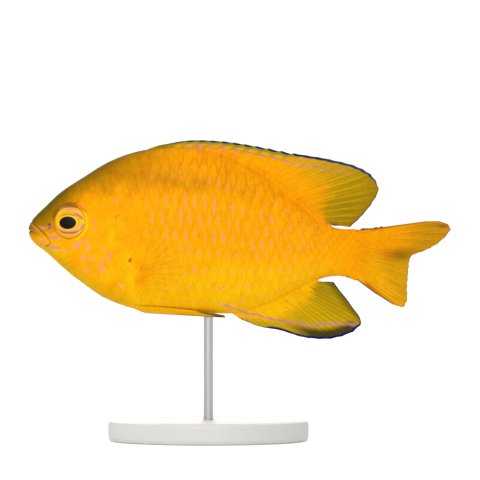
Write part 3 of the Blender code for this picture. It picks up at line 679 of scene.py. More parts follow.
def mouth_layers(behind, above):
    """The lighter lip by its groove, and painted shade in lip groove, mouth slit and corner, nostril and gill
    slit.
    """
    groove, hand = line_distance(behind, above, smooth_line(LIP_LINE))
    deep = smooth(0.2, 2.2, behind) * (1 - 0.75 * smooth(3.0, 4.0, behind))
    mouth = hump(from_curve(behind, above, MOUTH_LINE), 0.11)
    corner = np.hypot((behind - 1.0) / 0.8, above + 1.2)
    nostril = np.hypot(behind - NOSTRIL_AT[0], above - NOSTRIL_AT[1])
    gill = hump(from_curve(behind, above, GILL_LINE), 0.3)
    return [(LIP, 0.7 * hump(groove - 0.24, 0.16) * (hand < 0) * fall(2.6, 4.0, behind)),
            # Painted shade in lip groove, mouth slit, mouth corner, nostril and gill slit
            (CREASE_SHADE, (0.3 + 0.65 * deep) * hump(groove, 0.15)),
            (CREASE_SHADE, 0.5 * mouth * (1 - 0.75 * smooth(0.4, 1.6, behind))),
            (RUST * 0.8, 0.45 * hump(corner, 0.8)),
            (CREASE_SHADE, 0.6 * hump(nostril, NOSTRIL_RADIUS)),
            (NAPE, 0.08 * gill * fall(2.0, 4.0, above))]


def outline_shade_layers(behind, top, bottom):
    """Painted shade at the outline: a dark edge on nape and chin, and a browner rim where no fin grows."""
    front = fall(21.5, 24.0, behind)
    no_dorsal = 1 - smooth(21.0, 23.0, behind) * fall(57.0, 58.5, behind)
    no_anal = 1 - smooth(38.0, 39.5, behind) * fall(54.5, 56.0, behind)
    # Painted shade: dark at the outline of nape and chin, browner along back and belly where no fin grows
    rim = fall(0.02, 0.2, top) * no_dorsal * (1 - front) + fall(0.02, 0.2, bottom) * no_anal
    return [(OUTLINE_SHADE_OLIVE, 0.65 * fall(0.2, 0.75, top) * front),
            (OUTLINE_SHADE_DARK, 0.9 * fall(0.1, 0.36, top) * front),
            (OUTLINE_SHADE_OLIVE, 0.7 * fall(0.03, 0.3, bottom) * fall(15, 19, behind) * smooth(1, 3, behind)),
            (OUTLINE_SHADE_BROWN, 0.4 * rim * fall(60, 62, behind))]


def body_paint(points):
    """The skin's colour, alike on both flanks, with painted shade on its outline, chin and creases."""
    behind, _, above = np.moveaxis(points, -1, 0)
    low, high, _ = outline(behind)
    down = (high - above) / np.maximum(high - low, 0.01)
    # Partly the eye's yellow ring carried onto the skin, partly painted light that lifts the shade in the
    # crease round the eyeball
    ring = hump(eye_distance(points) - 3.3, 0.17) * smooth(7.4, 9.6, behind) * fall(3.2, 3.8, above)
    colour = layered(flesh_tones(behind, above, low, high, down), *mark_layers(behind, above),
                     *mouth_layers(behind, above), *outline_shade_layers(behind, high - above, above - low),
                     (PUPIL_RING, 0.8 * ring))
    upper = 1 + 0.8 * fall(0.15, 0.45, down) * smooth(10, 14, behind)
    shade = upper * (0.05 * mottle(behind, above, 1.3, 5) + 0.05 * mottle(behind, above * 0.7, 0.42, 6))
    return colour * (1 + shade[..., None] * [0.6, 1.3, 1.0])


def add_object(name, points, faces):
    """A smoothly shaded piece in the scene, with its faces turned outward."""
    mesh = bpy.data.meshes.new(name)
    mesh.from_pydata([tuple(p) for p in points], [], [tuple(f) for f in faces])
    mesh.validate()
    mesh.shade_smooth()
    face_outward(mesh)
    piece = bpy.data.objects.new(name, mesh)
    bpy.context.scene.collection.objects.link(piece)
    return piece


def face_outward(mesh):
    """Turns all faces of closed bodies over if they enclose less than nothing."""
    mesh.calc_loop_triangles()
    corners = np.empty(len(mesh.loop_triangles) * 3, np.int32)
    mesh.loop_triangles.foreach_get("vertices", corners)
    places = np.empty(len(mesh.vertices) * 3, np.float32)
    mesh.vertices.foreach_get("co", places)
    a, b, c = places.astype(float).reshape(-1, 3)[corners.reshape(-1, 3)].transpose(1, 0, 2)
    if np.sum(a * np.cross(b, c)) < 0:
        mesh.flip_normals()


def give_colours(piece, colours):
    """The paint on each point of the piece."""
    layer = piece.data.color_attributes.new("paint", "FLOAT_COLOR", "POINT")
    rgba = np.concatenate([np.clip(colours, 0, 1), np.ones((len(colours), 1))], axis=1)
    layer.data.foreach_set("color", rgba.astype(np.float32).ravel())


def give_numbers(piece, name, values):
    """A number or a vector for each point of the piece."""
    kind, field = ("FLOAT_VECTOR", "vector") if np.ndim(values) == 2 else ("FLOAT", "value")
    layer = piece.data.attributes.new(name, kind, "POINT")
    layer.data.foreach_set(field, np.asarray(values, np.float32).ravel())


def bake_map(piece, places):
    """The map for baking, from a place for each point."""
    layer = piece.data.uv_layers.new(name="OFBake")
    corners = np.empty(len(piece.data.loops), np.int32)
    piece.data.loops.foreach_get("vertex_index", corners)
    layer.data.foreach_set("uv", places[corners].astype(np.float32).ravel())


def closed_tube(rings, sides):
    """Faces of a tube of rings closed at both ends by a single point: first point, rings, last point."""
    start = 1 + np.arange(rings - 1)[:, None] * sides
    side_at = np.arange(sides)[None, :]
    after = (side_at + 1) % sides
    quads = np.stack([start + side_at, start + after, start + sides + after, start + sides + side_at], -1)
    faces = [tuple(quad) for quad in quads.reshape(-1, 4)]
    last = 1 + (rings - 1) * sides
    faces += [(0, 1 + (i + 1) % sides, 1 + i) for i in range(sides)]
    faces += [(last + sides, last + i, last + (i + 1) % sides) for i in range(sides)]
    return faces


def with_ends(first, rings, last):
    """One list of what the rings hold, between what the first and the last point hold."""
    return np.concatenate([[first], rings.reshape(-1, 3), [last]])


def build_skin():
    """One skin over head, jaws, gill covers, flanks and stalk, from the snout to the tail fin's root."""
    ring = np.linspace(0, 1, SKIN_RINGS + 1)[1:]
    round_it = np.arange(SKIN_SIDES) * 2 / SKIN_SIDES
    behind, share = np.meshgrid(SKIN_END * ring**RING_CROWDING, round_it, indexing="ij")
    points = skin_surface(behind, share)
    colours = mix(body_paint(points), PINK, 0.6 * skin_dashes(behind, folded(share)))
    places = with_ends(points[0].mean(0) - [SNOUT_TIP, 0, 0], points, points[-1].mean(0))
    skin = add_object("skin", world(places), closed_tube(SKIN_RINGS, SKIN_SIDES))
    give_colours(skin, with_ends(colours[0].mean(0), colours, colours[-1].mean(0)))
    return skin


def disc(rings, spokes):
    """A scale's flat pattern: points as (along, up) from -1 to 1, their radius, and 1 on the underside."""
    turn = np.arange(spokes) * math.tau / spokes
    round_part = [np.sign(part) * np.abs(part) ** (2 / SCALE_CORNER) for part in (np.cos(turn), np.sin(turn))]
    radius = np.concatenate([[0.0], np.repeat((*rings, rings[-1]), spokes), [0.0]])
    under = np.concatenate([np.zeros(1 + len(rings) * spokes), np.ones(spokes + 1)])
    edge = np.stack([np.concatenate([[0.0], np.tile(part, len(rings) + 1), [0.0]]) for part in round_part], 1)
    return edge * radius[:, None], radius, under


def dash_numbers(value, chance):
    """Each scale's dash, pore and edge, with what chance does to them."""
    first, second, third = chance.T
    patch = 0.75 + 0.35 * mottle(value["u"], value["v"] * SCALE_ROWS * 2, 3.2, 15)
    strength = value["strength"] * (0.65 + 0.65 * first) * patch
    length = value["length"] * (0.6 + 0.6 * second)
    place = DASH_AT + AT_JITTER * (second * 5 % 1 - 0.5)
    centre = value["centre"] + CENTRE_JITTER * (third * 7 % 1 - 0.5)
    slant = value["slant"] + SLANT_JITTER * (third - 0.5)
    return {"dash_form": np.stack([strength, length, smooth(0.45, 0.6, third)], -1),
            "dash_middle": np.stack([place, centre, slant], -1),
            "canal": value["canal"], "edge": value["edge"] * (0.25 + 1.5 * second)}


def lay_scales(name, rows, surface, paint, unwrap, pattern):
    """Scales as one joined mesh on a surface(u, v, lift). Each row holds a scale's named numbers."""
    rings, spokes, rise, thick = pattern
    value = {key: np.array([row.get(key, 0.0) for row in rows], float) for key in SCALE_KEYS}
    column = {key: values[:, None] for key, values in value.items()}
    flat, radius, under = disc(rings, spokes)
    along, up = flat.T
    u = column["u"] + along * column["u_along"] + up * column["u_up"]
    v = column["v"] + along * column["v_along"] + up * column["v_up"]
    height = rise * (along + 1) / 2 - SCALE_SUNK - thick * under - SCALE_ROUNDING * thick * radius**6
    height = height - 2 * SCALE_SUNK * under * (along < -0.5)
    height = height + column["canal"] * CANAL_RIDGE * hump(up, 0.1) * smooth(-0.1, 0.2, along) * (1 - under)
    points = surface(u, v, height)
    faces = closed_tube(len(rings) + 1, spokes)
    starts = range(0, u.size, len(flat))
    piece = add_object(name, world(points).reshape(-1, 3),
                       [[start + at for at in face] for start in starts for face in faces])
    give_colours(piece, paint(u, v, points).reshape(-1, 3))
    chance = np.random.default_rng(len(name)).uniform(0, 1, (len(rows), 3))
    local = np.stack(np.broadcast_arrays(along, up, chance[:, :1]), -1)
    give_numbers(piece, "scale_place", local.reshape(-1, 3))
    for key, values in dash_numbers(value, chance).items():
        give_numbers(piece, key, np.repeat(values, len(flat), axis=0))
    spread = unwrap(value["u"], value["v"])[:, None] + flat[None] * PATCH / 2
    bake_map(piece, np.clip(spread, 0, 1).reshape(-1, 2))
    return piece


def on_body(behind, share, lift):
    return skin_surface(np.clip(behind, 0.2, SKIN_END - 0.05), share, lift)


def body_colours(behind, share, points):
    return body_paint(points)


def body_unwrap(behind, share):
    """The skin's own unwrap: along the fish, and the share of the way round it."""
    return np.stack([behind / SKIN_END, (share % 2) / 2], 1)


def flank_rows(hand):
    """The flank's scales, behind the gill cover's edge and clear of the pectoral fin's root."""
    rows = []
    gill_line = smooth_line(GILL_LINE)
    for row in range(-1, SCALE_ROWS + 1):
        share = (row + 0.5) / SCALE_ROWS + ROW_SHIFT
        down = folded(share)
        on_canal = row == CANAL_ROW
        for start, after in zip(SCALE_COLUMNS, SCALE_COLUMNS[1:]):
            behind = start + 0.5 * (after - start) * (row % 2)
            if not -0.03 <= share <= 1.03 or behind > SCALES_END:
                continue
            above = body_point(behind, around_at(behind, down))[2]
            gill, edge = line_distance(behind, above, gill_line)
            lobe = math.hypot(behind - PECTORAL_AT[0], above - PECTORAL_AT[1])
            if (edge < 0 and gill > 0.4) or lobe < 2.2:
                continue
            rows.append({"u": behind, "v": hand * share, "u_along": after - start,
                         "u_up": 0.4 * smooth(0.6, 0.85, share), "v_up": hand * SCALE_HEIGHT / SCALE_ROWS,
                         "canal": on_canal, "centre": CANAL_SHIFT * on_canal,
                         "strength": dash_strength(behind, down), "length": curve_through(DASH_LENGTHS, down),
                         "slant": curve_through(DASH_SLANTS, down),
                         "edge": EDGE_SHADE + CRESCENT_SHADE * crescents(behind, down) * (not on_canal)})
    return rows


def head_rows(hand):
    """The small scales on nape, cheek and gill cover."""
    rows = []
    gill_line = smooth_line(GILL_LINE)
    for row in range(HEAD_ROWS):
        share = (row + 0.5) / HEAD_ROWS
        for start in np.arange(HEAD_SCALE_FROM, HEAD_SCALE_TO, HEAD_PITCH):
            behind = start + 0.5 * HEAD_PITCH * (row % 2)
            point = body_point(behind, around_at(behind, share))
            gill, edge = line_distance(behind, point[2], gill_line)
            muzzle = line_distance(behind, point[2], MUZZLE_LINE)[1]
            if (edge > 0 and gill > 0.2) or eye_distance(point) < 4.4 or muzzle > 0:
                continue
            rows.append({"u": behind, "v": hand * share, "u_along": HEAD_PITCH,
                         "v_up": hand * HEAD_SCALE_HEIGHT / HEAD_ROWS, "edge": HEAD_EDGE_SHADE})
    return rows


def build_scales():
    """The scales of flank and head on both sides."""
    kinds = (("scales_", flank_rows, FLANK_PATTERN), ("head_scales_", head_rows, HEAD_PATTERN))
    return [lay_scales(name + word, rows(hand), on_body, body_colours, body_unwrap, pattern)
            for hand, word in SIDES for name, rows, pattern in kinds]


def blend_rays(keys, number):
    """Root, tip behind and tip above of rays, from the few that are given."""
    rows = np.array([(at, root, *tip) for at, root, tip in keys])
    return [curve_through(rows[:, [0, column]], number) for column in (1, 2, 3)]


def past_ray(number):
    """The share of the way from one ray to the next."""
    return number - np.floor(number)


def ridges(number, reach, spines, spread=0.2):
    """1 on the middle of a ray and 0 on the membrane. Soft rays branch twice on their way out."""
    nearest = np.round(number)
    soft = nearest >= spines
    first = spread * smooth(0.3, 1.0, reach) * soft
    second = 0.42 * first * smooth(0.6, 1.0, reach)
    off = np.abs(np.abs(np.abs(number - nearest) - first) - second)
    return hump(off, np.where(soft, 0.15 - 0.085 * reach, 0.17 - 0.08 * reach))


def ray_lines(number, count, width):
    """1 on fine lines that run along the rays, so many for each ray."""
    return hump((number * count) % 1 - 0.5, width)


def streaks(number, reach, seed):
    """Fine streaks that run along the rays, between -1 and 1."""
    broad = mottle(number * 5, reach * 2 + 9, 1, seed)
    return 0.6 * broad + 0.4 * mottle(number * 11, reach * 5 + 9, 1, seed + 1)


def grained(colour, number, reach, seed):
    """The colour with fine light and dark grain along the rays."""
    grain = 1 + 0.05 * mottle(number * 3, reach * 40 + 9, 1.0, seed) + 0.07 * streaks(number, reach, seed + 2)
    return colour * grain[..., None]


def build_fin(name, rays, form, paint, per_ray, rows):
    """A thin closed sheet. Its form holds its middle, half thickness and ribs, each by (number, reach)."""
    middle, half, rib = form
    number = np.linspace(0, rays - 1, (rays - 1) * per_ray + 1)
    reach = np.concatenate([np.linspace(-ROOT_SHARE, 0, 5)[:-1], 1 - (1 - np.linspace(0, 1, rows)) ** 1.15])
    number, reach = np.meshgrid(number, reach, indexing="ij")
    points = middle(number, reach)
    normal = unit(np.cross(np.gradient(points, axis=0), np.gradient(points, axis=1)))
    thick = half(number, reach)[..., None]
    columns, deep = number.shape
    both = np.concatenate([(points + face * normal * thick).reshape(-1, 3) for face in (1, -1)])
    index = np.arange(columns * deep).reshape(columns, deep)
    a, b, c, d = index[:-1, :-1], index[1:, :-1], index[1:, 1:], index[:-1, 1:]
    front = np.stack([a, b, c, d], -1).reshape(-1, 4)
    rear = np.stack([a, d, c, b], -1).reshape(-1, 4) + columns * deep
    loop = np.concatenate([index[:-1, 0], index[-1, :-1], index[:0:-1, -1], index[0, :0:-1]])
    after = np.roll(loop, -1)
    rim = np.stack([after, loop, loop + columns * deep, after + columns * deep], -1)
    piece = add_object(name, world(both), np.concatenate([front, rear, rim]).tolist())
    give_colours(piece, np.tile(paint(number, reach).reshape(-1, 3), (2, 1)))
    place = np.stack([number, reach, rib(number, reach)], -1)
    give_numbers(piece, "ray_place", np.tile(place.reshape(-1, 3), (2, 1)))
    return piece


def half_sheet(reach, foot, rib, membrane=MEMBRANE_HALF, ray=RIB_HALF):
    """Half a fin's thickness: membrane, thicker foot, and rays that grow thinner on their way out."""
    return membrane + foot + ray * (1 - 0.6 * reach) * rib


def rim_thinning(reach):
    return 1 - 0.45 * smooth(0.85, 1, reach)


def fin_foot(keys, behind):
    """The height of the body's edge that the dorsal or the anal fin grows from."""
    return blunt_curve(BACK if keys is DORSAL_KEYS else BELLY, behind)


def edge_depth(keys, number, reach):
    """How far a place on a fin lies inside its margin, in millimetres."""
    root, tip_behind, tip_above = blend_rays(keys, number)
    _, next_behind, next_above = blend_rays(keys, number + 0.05)
    along = unit(np.stack([next_behind - tip_behind, next_above - tip_above], -1))
    ray = np.stack([tip_behind - root, tip_above - fin_foot(keys, root)], -1)
    return (1 - reach) * np.abs(ray[..., 0] * along[..., 1] - ray[..., 1] * along[..., 0])


def median_fin(keys, spines, rays, lean):
    """The form of the dorsal or the anal fin."""
    way = 1 if keys is DORSAL_KEYS else -1

    def middle(number, reach):
        root, tip_behind, tip_above = blend_rays(keys, number)
        past = past_ray(number)
        tooth = past**0.8 * fall(0.84, 1.0, past)
        step = np.where(number < spines - 1, SPINE_STEP * tooth, RAY_SWELL * np.sin(math.pi * past))
        out = np.maximum(reach, 0) * (1 - step)
        foot = fin_foot(keys, root) + way * GAP * smooth(0, 3, number)
        above = foot + (tip_above - foot) * out + way * ROOT_DEPTH * np.minimum(reach, 0) / ROOT_SHARE
        across = lean * (number / (rays - 1) * out) ** 2
        return np.stack([root + (tip_behind - root) * out, across, above], -1)

    def rib(number, reach):
        return ridges(number, reach, spines)

    def half(number, reach):
        root, tip_behind, tip_above = blend_rays(keys, number)
        length = np.hypot(tip_behind - root, tip_above - fin_foot(keys, root))
        foot = FOOT_HALF * np.exp(-np.maximum(reach, 0) * length / FOOT_FADE)
        return half_sheet(reach, foot, rib(number, reach)) * rim_thinning(reach)

    return middle, half, rib


def foot_colour(behind, above):
    """The body's colour where a fin grows from it."""
    return body_paint(np.stack([behind, 0 * behind, above], -1))


def dorsal_layers(number, depth, soft):
    """The dorsal fin's band, painted spine shadows, lilac dashes and navy margin, by depth inside the margin.
    """
    past = past_ray(number)
    band = mix(BAND_YELLOW, GREEN_OLIVE, 1 - smooth(0.5, 1.1, depth) * smooth(1.5, 4.0, number))
    # A brown stroke leaning beside each spine: painted shadow of the spine on the membrane
    turn = (number - 0.84 - 0.12 * (depth - 1.1) + 0.5) % 1 - 0.5
    spine_shadow = hump(turn, 0.2) * smooth(0.35, 0.6, depth) * fall(1.7, 2.2, depth) * (1 - soft)
    away = hump(depth - 1.6 - 0.45 * soft, 0.19)
    dash = away * np.where(number > DORSAL_SPINES, 0.6 + 0.4 * np.cos(math.tau * past),
                           smooth(0.0, 0.14, past) * fall(0.56, 0.72, past))
    blob = 0.44 * np.sin(math.pi * np.clip(past / 0.88, 0.02, 0.98)) ** 0.35
    broad = blob * (1 - soft) + soft * (0.52 - 0.4 * smooth(18.5, 21, number))
    line = hump(depth - broad - 0.13, 0.08) * fall(17, 19, number) * smooth(1.5, 3, number)
    edge = mix(NAVY, TEAL, smooth(14.5, 16, number) * fall(18.5, 20, number))
    return [(band, fall(1.3, 1.6, depth + 1.5 * soft)),
            (BROWN, 0.4 * spine_shadow),
            (LILAC, 0.9 * dash * smooth(0.8, 1.6, number) * fall(16.0, 19.0, number)),
            (PALE_LINE, 0.22 * line),
            (edge, 0.95 * fall(broad - 0.08, broad + 0.08, depth) * smooth(0.8, 2.4, number)),
            (DARK, 0.75 * fall(0.06, 0.2, depth))]


def dorsal_paint(number, reach):
    """Orange below, then a row of lilac dashes, a green and yellow band, and a navy margin."""
    soft = smooth(11.5, 13.5, number)
    fine = streaks(number, reach, 12)
    root = blend_rays(DORSAL_KEYS, number)[0]
    gold = curve_through(DORSAL_GOLD, number)
    rear = smooth(13, 23, number)
    blade = layered(
        mix(SOFT_GOLD, SOFT_OLIVE, rear * 0.7 + 0.5 * smooth(gold, 1.0, reach) * rear + 0.2 * fine),
        (RAY_GOLD, 0.45 * ridges(number, reach, DORSAL_SPINES) * fall(0.75, 1.0, reach)),
        (RAY_SHADE, 0.4 * ray_lines(number, 2, 0.17) * soft))
    colour = layered(
        foot_colour(root, fin_foot(DORSAL_KEYS, root)),
        (GOLD, smooth(0.0, 0.25, reach)),
        (blade, smooth(gold * 0.35, gold * 1.45 + 0.05, reach + 0.12 * fine)),
        *dorsal_layers(number, edge_depth(DORSAL_KEYS, number, reach), soft),
        # Painted shadow where the dorsal fin's last rays meet the back
        (TAIL_SMUDGE_AND_SHADOW, 0.7 * hump(number - 25.7, 0.8) * hump(reach - 0.2, 0.2)))
    return grained(colour, number, reach, 11)


def anal_paint(number, reach):
    """Gold below the body, olive with dark streaks, a lilac line and a navy and blackish margin."""
    depth = edge_depth(ANAL_KEYS, number, reach)
    behind, _, above = np.moveaxis(anal_form[0](number, reach), -1, 0)
    fine = streaks(number, reach, 22)
    root = blend_rays(ANAL_KEYS, number)[0]
    gold = curve_through(ANAL_GOLD, number)
    blade = layered(
        mix(ANAL_OLIVE, SOFT_OLIVE, smooth(10.0, 14.0, number) * 0.7 + 0.25 * fine),
        (RAY_SHADE, 0.55 * ray_lines(number, 2, 0.16)))
    beads = 0.75 + 0.25 * np.cos(math.tau * (number + 0.3))
    broad = 0.12 + 0.36 * smooth(2.0, 3.5, number) * fall(11.6, 12.8, number)
    lilac = from_curve(behind, above, ANAL_LILAC) + 0.06 * fine
    colour = layered(
        foot_colour(root, fin_foot(ANAL_KEYS, root)),
        (blade, smooth(gold * 0.35, gold * 1.35 + 0.05, reach + 0.12 * fine)),
        (BLACKISH, 0.92 * smooth(5.5, 8.0, number) * fall(11.0, 12.5, number) * fall(1.3, 2.9, depth)),
        (DARK_OLIVE, 0.8 * smooth(12.0, 12.8, number) * fall(0.3, 1.6, depth)),
        (mix(ROSE_LILAC, LILAC, smooth(44, 54, behind)), 0.85 * beads * fall(0.1, 0.34, lilac)),
        (NAVY, 0.95 * fall(broad - 0.1, broad + 0.12, depth)))
    return grained(colour, number, reach, 21)


def caudal_middle(number, reach):
    """The middle of the tail fin, with its lower lobe curled."""
    share = number / (CAUDAL_RAYS - 1)
    root_above, tip_behind, tip_above = blend_rays(CAUDAL_KEYS, number)
    root = STANDARD_LENGTH + GAP
    out = np.maximum(reach, 0) * (1 - RAY_SWELL * np.sin(math.pi * past_ray(number)))
    inside = np.minimum(reach, 0) / ROOT_SHARE
    bulge = CAUDAL_BULGE * share**BULGE_POWER * np.sin(math.pi * np.sqrt(np.minimum(out, 1)))
    curl = LOWER_LOBE_CURL * share * share * out**CURL_POWER * smooth(0.05, 0.4, out)
    above = root_above + (tip_above - root_above) * out - bulge
    above = above + inside * (above - CAUDAL_MIDDLE) * 0.12
    return np.stack([root + (tip_behind - root) * out + CAUDAL_ROOT_DEPTH * inside, curl, above], -1)


def caudal_rib(number, reach):
    return ridges(number, reach, 1, 0.24)


def caudal_half(number, reach):
    root_above, tip_behind, tip_above = blend_rays(CAUDAL_KEYS, number)
    out = np.maximum(reach, 0) * np.hypot(tip_behind - STANDARD_LENGTH - GAP, tip_above - root_above)
    stalk = np.sqrt(1 - ((root_above - CAUDAL_MIDDLE) / CAUDAL_ROOT_HALF) ** 2)
    foot = CAUDAL_FOOT_HALF * stalk * hump(out, CAUDAL_FOOT_FADE)
    return half_sheet(reach, foot, caudal_rib(number, reach)) * rim_thinning(reach)


def caudal_spots(behind, above):
    """The spots of the tail fin: in its fork, on its middle, and at both tips."""
    fork = np.hypot((behind - 70.6) / 2.2, (above + 5.0) / 1.1)
    patch = np.hypot(behind - 68.1, above + 4.7)
    low_tip = np.hypot(behind - 70.6, above + 14.1)
    return [(TAIL_BROWN * 0.7, 0.6 * hump(fork, 1.0)),
            (TAIL_RED, 0.3 * hump(patch, 1.2)),
            (TAIL_ORANGE, 0.7 * hump(low_tip, 0.7))]


def caudal_paint(number, reach):
    """Orange root, painted lighter against its shading, streaked olive and brown further out, with darker
    edges.
    """
    behind, _, above = np.moveaxis(caudal_middle(number, reach), -1, 0)
    fine = streaks(number, reach, 32)
    lower = smooth(8, 11, number)
    root = blend_rays(CAUDAL_KEYS, number)[0]
    foot = foot_colour(0 * number + STANDARD_LENGTH - 1.0, np.clip(root, -8.8, -0.6))
    gold = curve_through(CAUDAL_GOLD, number)
    blade = layered(
        mix(TAIL_UPPER, TAIL_LOWER, lower),
        (TAIL_BROWN, 0.6 * smooth(0.1, 0.7, fine) * (1 - 0.6 * lower)),
        (TAIL_YELLOW, 0.6 * smooth(0.1, 0.7, -fine)),
        (RAY_GOLD, caudal_rib(number, reach) * (0.25 + 0.6 * lower)))
    rays = ray_lines(number, 3, 0.2) * (1 - lower) + ray_lines(number, 2, 0.16) * lower
    from_side = np.minimum(number, CAUDAL_RAYS - 1 - number) * (0.25 + reach * 0.55)
    from_end = (1 - reach) * 0.9 * np.hypot(TOTAL_LENGTH - STANDARD_LENGTH, 6.0)
    smudge = np.hypot((behind - 78.7) / 1.4, (above - 0.67) / 0.5)
    colour = layered(
        # The body's colour and the root's orange, painted lighter to offset the shading at the fin's root
        foot * 1.05,
        (mix(TAIL_ROOT_LIGHTENED, LOWER_ROOT, lower), smooth(0.0, 0.3, reach)),
        (blade, smooth(gold * 0.6, gold * 1.35 + 0.04, reach + 0.12 * fine)),
        (TAIL_BROWN, 0.42 * rays * smooth(0.08, 0.35, reach)),
        *caudal_spots(behind, above),
        (TAIL_EDGE, 0.75 * fall(0.15, 0.5, from_side) * smooth(0.1, 0.25, reach)),
        (DARK, 0.7 * fall(0.02, 0.12, from_side)),
        (TAIL_SMUDGE_AND_SHADOW, 0.7 * hump(smudge, 0.8)),
        (TAIL_EDGE * 0.6, 0.6 * fall(0.1, 0.35, from_end)))
    return grained(colour, number, reach, 31)


def pectoral_form(hand):
    """A fan of rays round the pectoral fin's root, spread off the flank."""
    marks = [(i / (len(PECTORAL_REACH) - 1), reach) for i, reach in enumerate(PECTORAL_REACH)]

    def middle(number, reach):
        share = number / (PECTORAL_RAYS - 1)
        angle = PECTORAL_FAN[0] + (PECTORAL_FAN[1] - PECTORAL_FAN[0]) * share
        along, up = np.cos(angle), np.sin(angle)
        root_behind = PECTORAL_AT[0] + PECTORAL_ROOT_RADIUS * along
        root_above = PECTORAL_AT[1] + PECTORAL_ROOT_RADIUS * up
        out = np.maximum(reach, 0)
        swell = 1 - RAY_SWELL * np.sin(math.pi * past_ray(number))
        far = (curve_through(marks, share) - PECTORAL_ROOT_RADIUS) * swell * out
        off_hinge = np.cos(angle - PECTORAL_HINGE)
        lift = (off_hinge + np.hypot(off_hinge, PECTORAL_EASE)) / 2 * math.tan(PECTORAL_SPREAD)
        clear = (PECTORAL_OFF_FLANK * smooth(-ROOT_SHARE, 0.3, reach)
                 - PECTORAL_SUNK * fall(-ROOT_SHARE, 0.1, reach))
        cup = PECTORAL_CUP * out**2 * np.sin(math.pi * share)
        across = side(root_behind, root_above) + clear + far * lift - cup
        return np.stack([root_behind + far * along, hand * across, root_above + far * up], -1)

    def half(number, reach):
        foot = 0.2 * np.maximum(0, 1 - reach / 0.2) ** 2
        return half_sheet(reach, foot, pectoral_rib(number, reach), 0.045, 0.08)

    return middle, half, pectoral_rib


def pectoral_rib(number, reach):
    return ridges(number, reach, 0)


def pectoral_paint(number, reach):
    clear = mix(CLEAR_YELLOW, CLEAR_RAY, 0.9 * pectoral_rib(number, reach))
    return grained(mix(GOLD, clear, smooth(0.0, 0.2, reach)), number, reach, 41)


def pelvic_form(hand):
    """A narrow blade laid back along the belly."""
    def middle(number, reach):
        share = number / (PELVIC_RAYS - 1)
        out = np.maximum(reach, 0)
        behind = PELVIC_START + PELVIC_LENGTH * out * curve_through(PELVIC_REACH, share)
        across = curve_through(PELVIC_INNER, out) + curve_through(PELVIC_WIDTHS, out) * share
        low, _, widest = outline(behind)
        wide = blunt_curve(HALF_WIDTH, behind)
        part = across / wide
        drop = (1 - part**BELLY_POWER) ** (1 / BELLY_POWER)
        tilt = np.arctan((widest - low) / wide * (part / drop) ** (BELLY_POWER - 1))
        clear = PELVIC_CLEAR * (1 - 0.5 * share) + PELVIC_DROOP * out**4
        clear = clear - (clear + PELVIC_SUNK) * fall(-ROOT_SHARE, 0.22, reach)
        above = widest - (widest - low) * drop
        return np.stack([behind, hand * (across + clear * np.sin(tilt)), above - clear * np.cos(tilt)], -1)

    def half(number, reach):
        foot = 0.3 * np.maximum(0, 1 - reach / 0.15) ** 2
        return half_sheet(reach, foot, pelvic_rib(number, reach), ray=0.12)

    return middle, half, pelvic_rib


def pelvic_rib(number, reach):
    return ridges(number, reach, 1)


def pelvic_paint(number, reach):
    """Yellow, painted lighter against the shade under it, with a lilac front ray, an olive fringe and a
    blackish tip.
    """
    colour = layered(
        mix(BELLY_YELLOW, PELVIC_GOLD_LIGHTENED, smooth(0.2, 0.6, reach)),
        (RAY_GOLD, 0.4 * pelvic_rib(number, reach)),
        (DARK_OLIVE, 0.6 * smooth(0.42, 0.6, reach) * fall(0.5, 1.8, number)),
        (BLACKISH, 0.8 * smooth(0.84, 0.95, reach)),
        (LILAC, 0.7 * hump(number, 0.45) * fall(0.4, 0.55, reach)))
    return grained(colour, number, reach, 51)


dorsal_form = median_fin(DORSAL_KEYS, DORSAL_SPINES, DORSAL_RAYS, DORSAL_LEAN)
anal_form = median_fin(ANAL_KEYS, ANAL_SPINES, ANAL_RAYS, ANAL_LEAN)
caudal_form = (caudal_middle, caudal_half, caudal_rib)


def build_fins():
    """Every fin with its rays, and the solid that it stands for."""
    made = [(build_fin("dorsal_sail", DORSAL_RAYS, dorsal_form, dorsal_paint, 14, 90), "dorsal_fin"),
            (build_fin("anal_sail", ANAL_RAYS, anal_form, anal_paint, 16, 80), "anal_fin"),
            (build_fin("tail_sail", CAUDAL_RAYS, caudal_form, caudal_paint, 16, 100), "caudal_fin")]
    for hand, word in SIDES:
        fan = build_fin("pectoral_fan_" + word, PECTORAL_RAYS, pectoral_form(hand), pectoral_paint, 10, 60)
        blade = build_fin("pelvic_blade_" + word, PELVIC_RAYS, pelvic_form(hand), pelvic_paint, 14, 70)
        made += [(fan, "pectoral_fin_" + word), (blade, "pelvic_fin_" + word)]
    return made


def on_sheet(form, hand):
    """One face of a fin, as a surface of ray number, reach and lift."""
    middle, half, _ = form

    def surface(number, reach, lift):
        step = 0.01
        over = middle(number + step, reach) - middle(number - step, reach)
        outward = middle(number, reach + step) - middle(number, reach - step)
        normal = unit(np.cross(over, outward))
        normal = normal * np.sign(normal[..., 1:2]) * hand
        return middle(number, reach) + normal * (half(number, reach) + lift)[..., None]

    return surface


def foot_rows(middle, rays, scaled):
    """Small scales over a fin's foot, in rows that follow the body and march out along the rays."""
    def point(number, reach):
        return middle(np.array([number]), np.array([reach]))

    rows = []
    for step in range(FOOT_SCALE_ROWS):
        number = 0.4 + 0.25 * (step % 2)
        while number < rays - 1.4:
            length = float(np.linalg.norm(point(number, 1.0) - point(number, 0.0)))
            reach = (step + 0.2) * FOOT_PITCH / length
            wide = float(np.linalg.norm(point(number + 0.3, reach) - point(number - 0.3, reach))) / 0.6
            if reach < curve_through(scaled, number):
                rows.append({"u": number, "v": reach, "v_along": FOOT_SCALE_LENGTH / length,
                             "u_up": FOOT_SCALE_HALF / wide})
            number += FOOT_SPACING / wide
    return rows


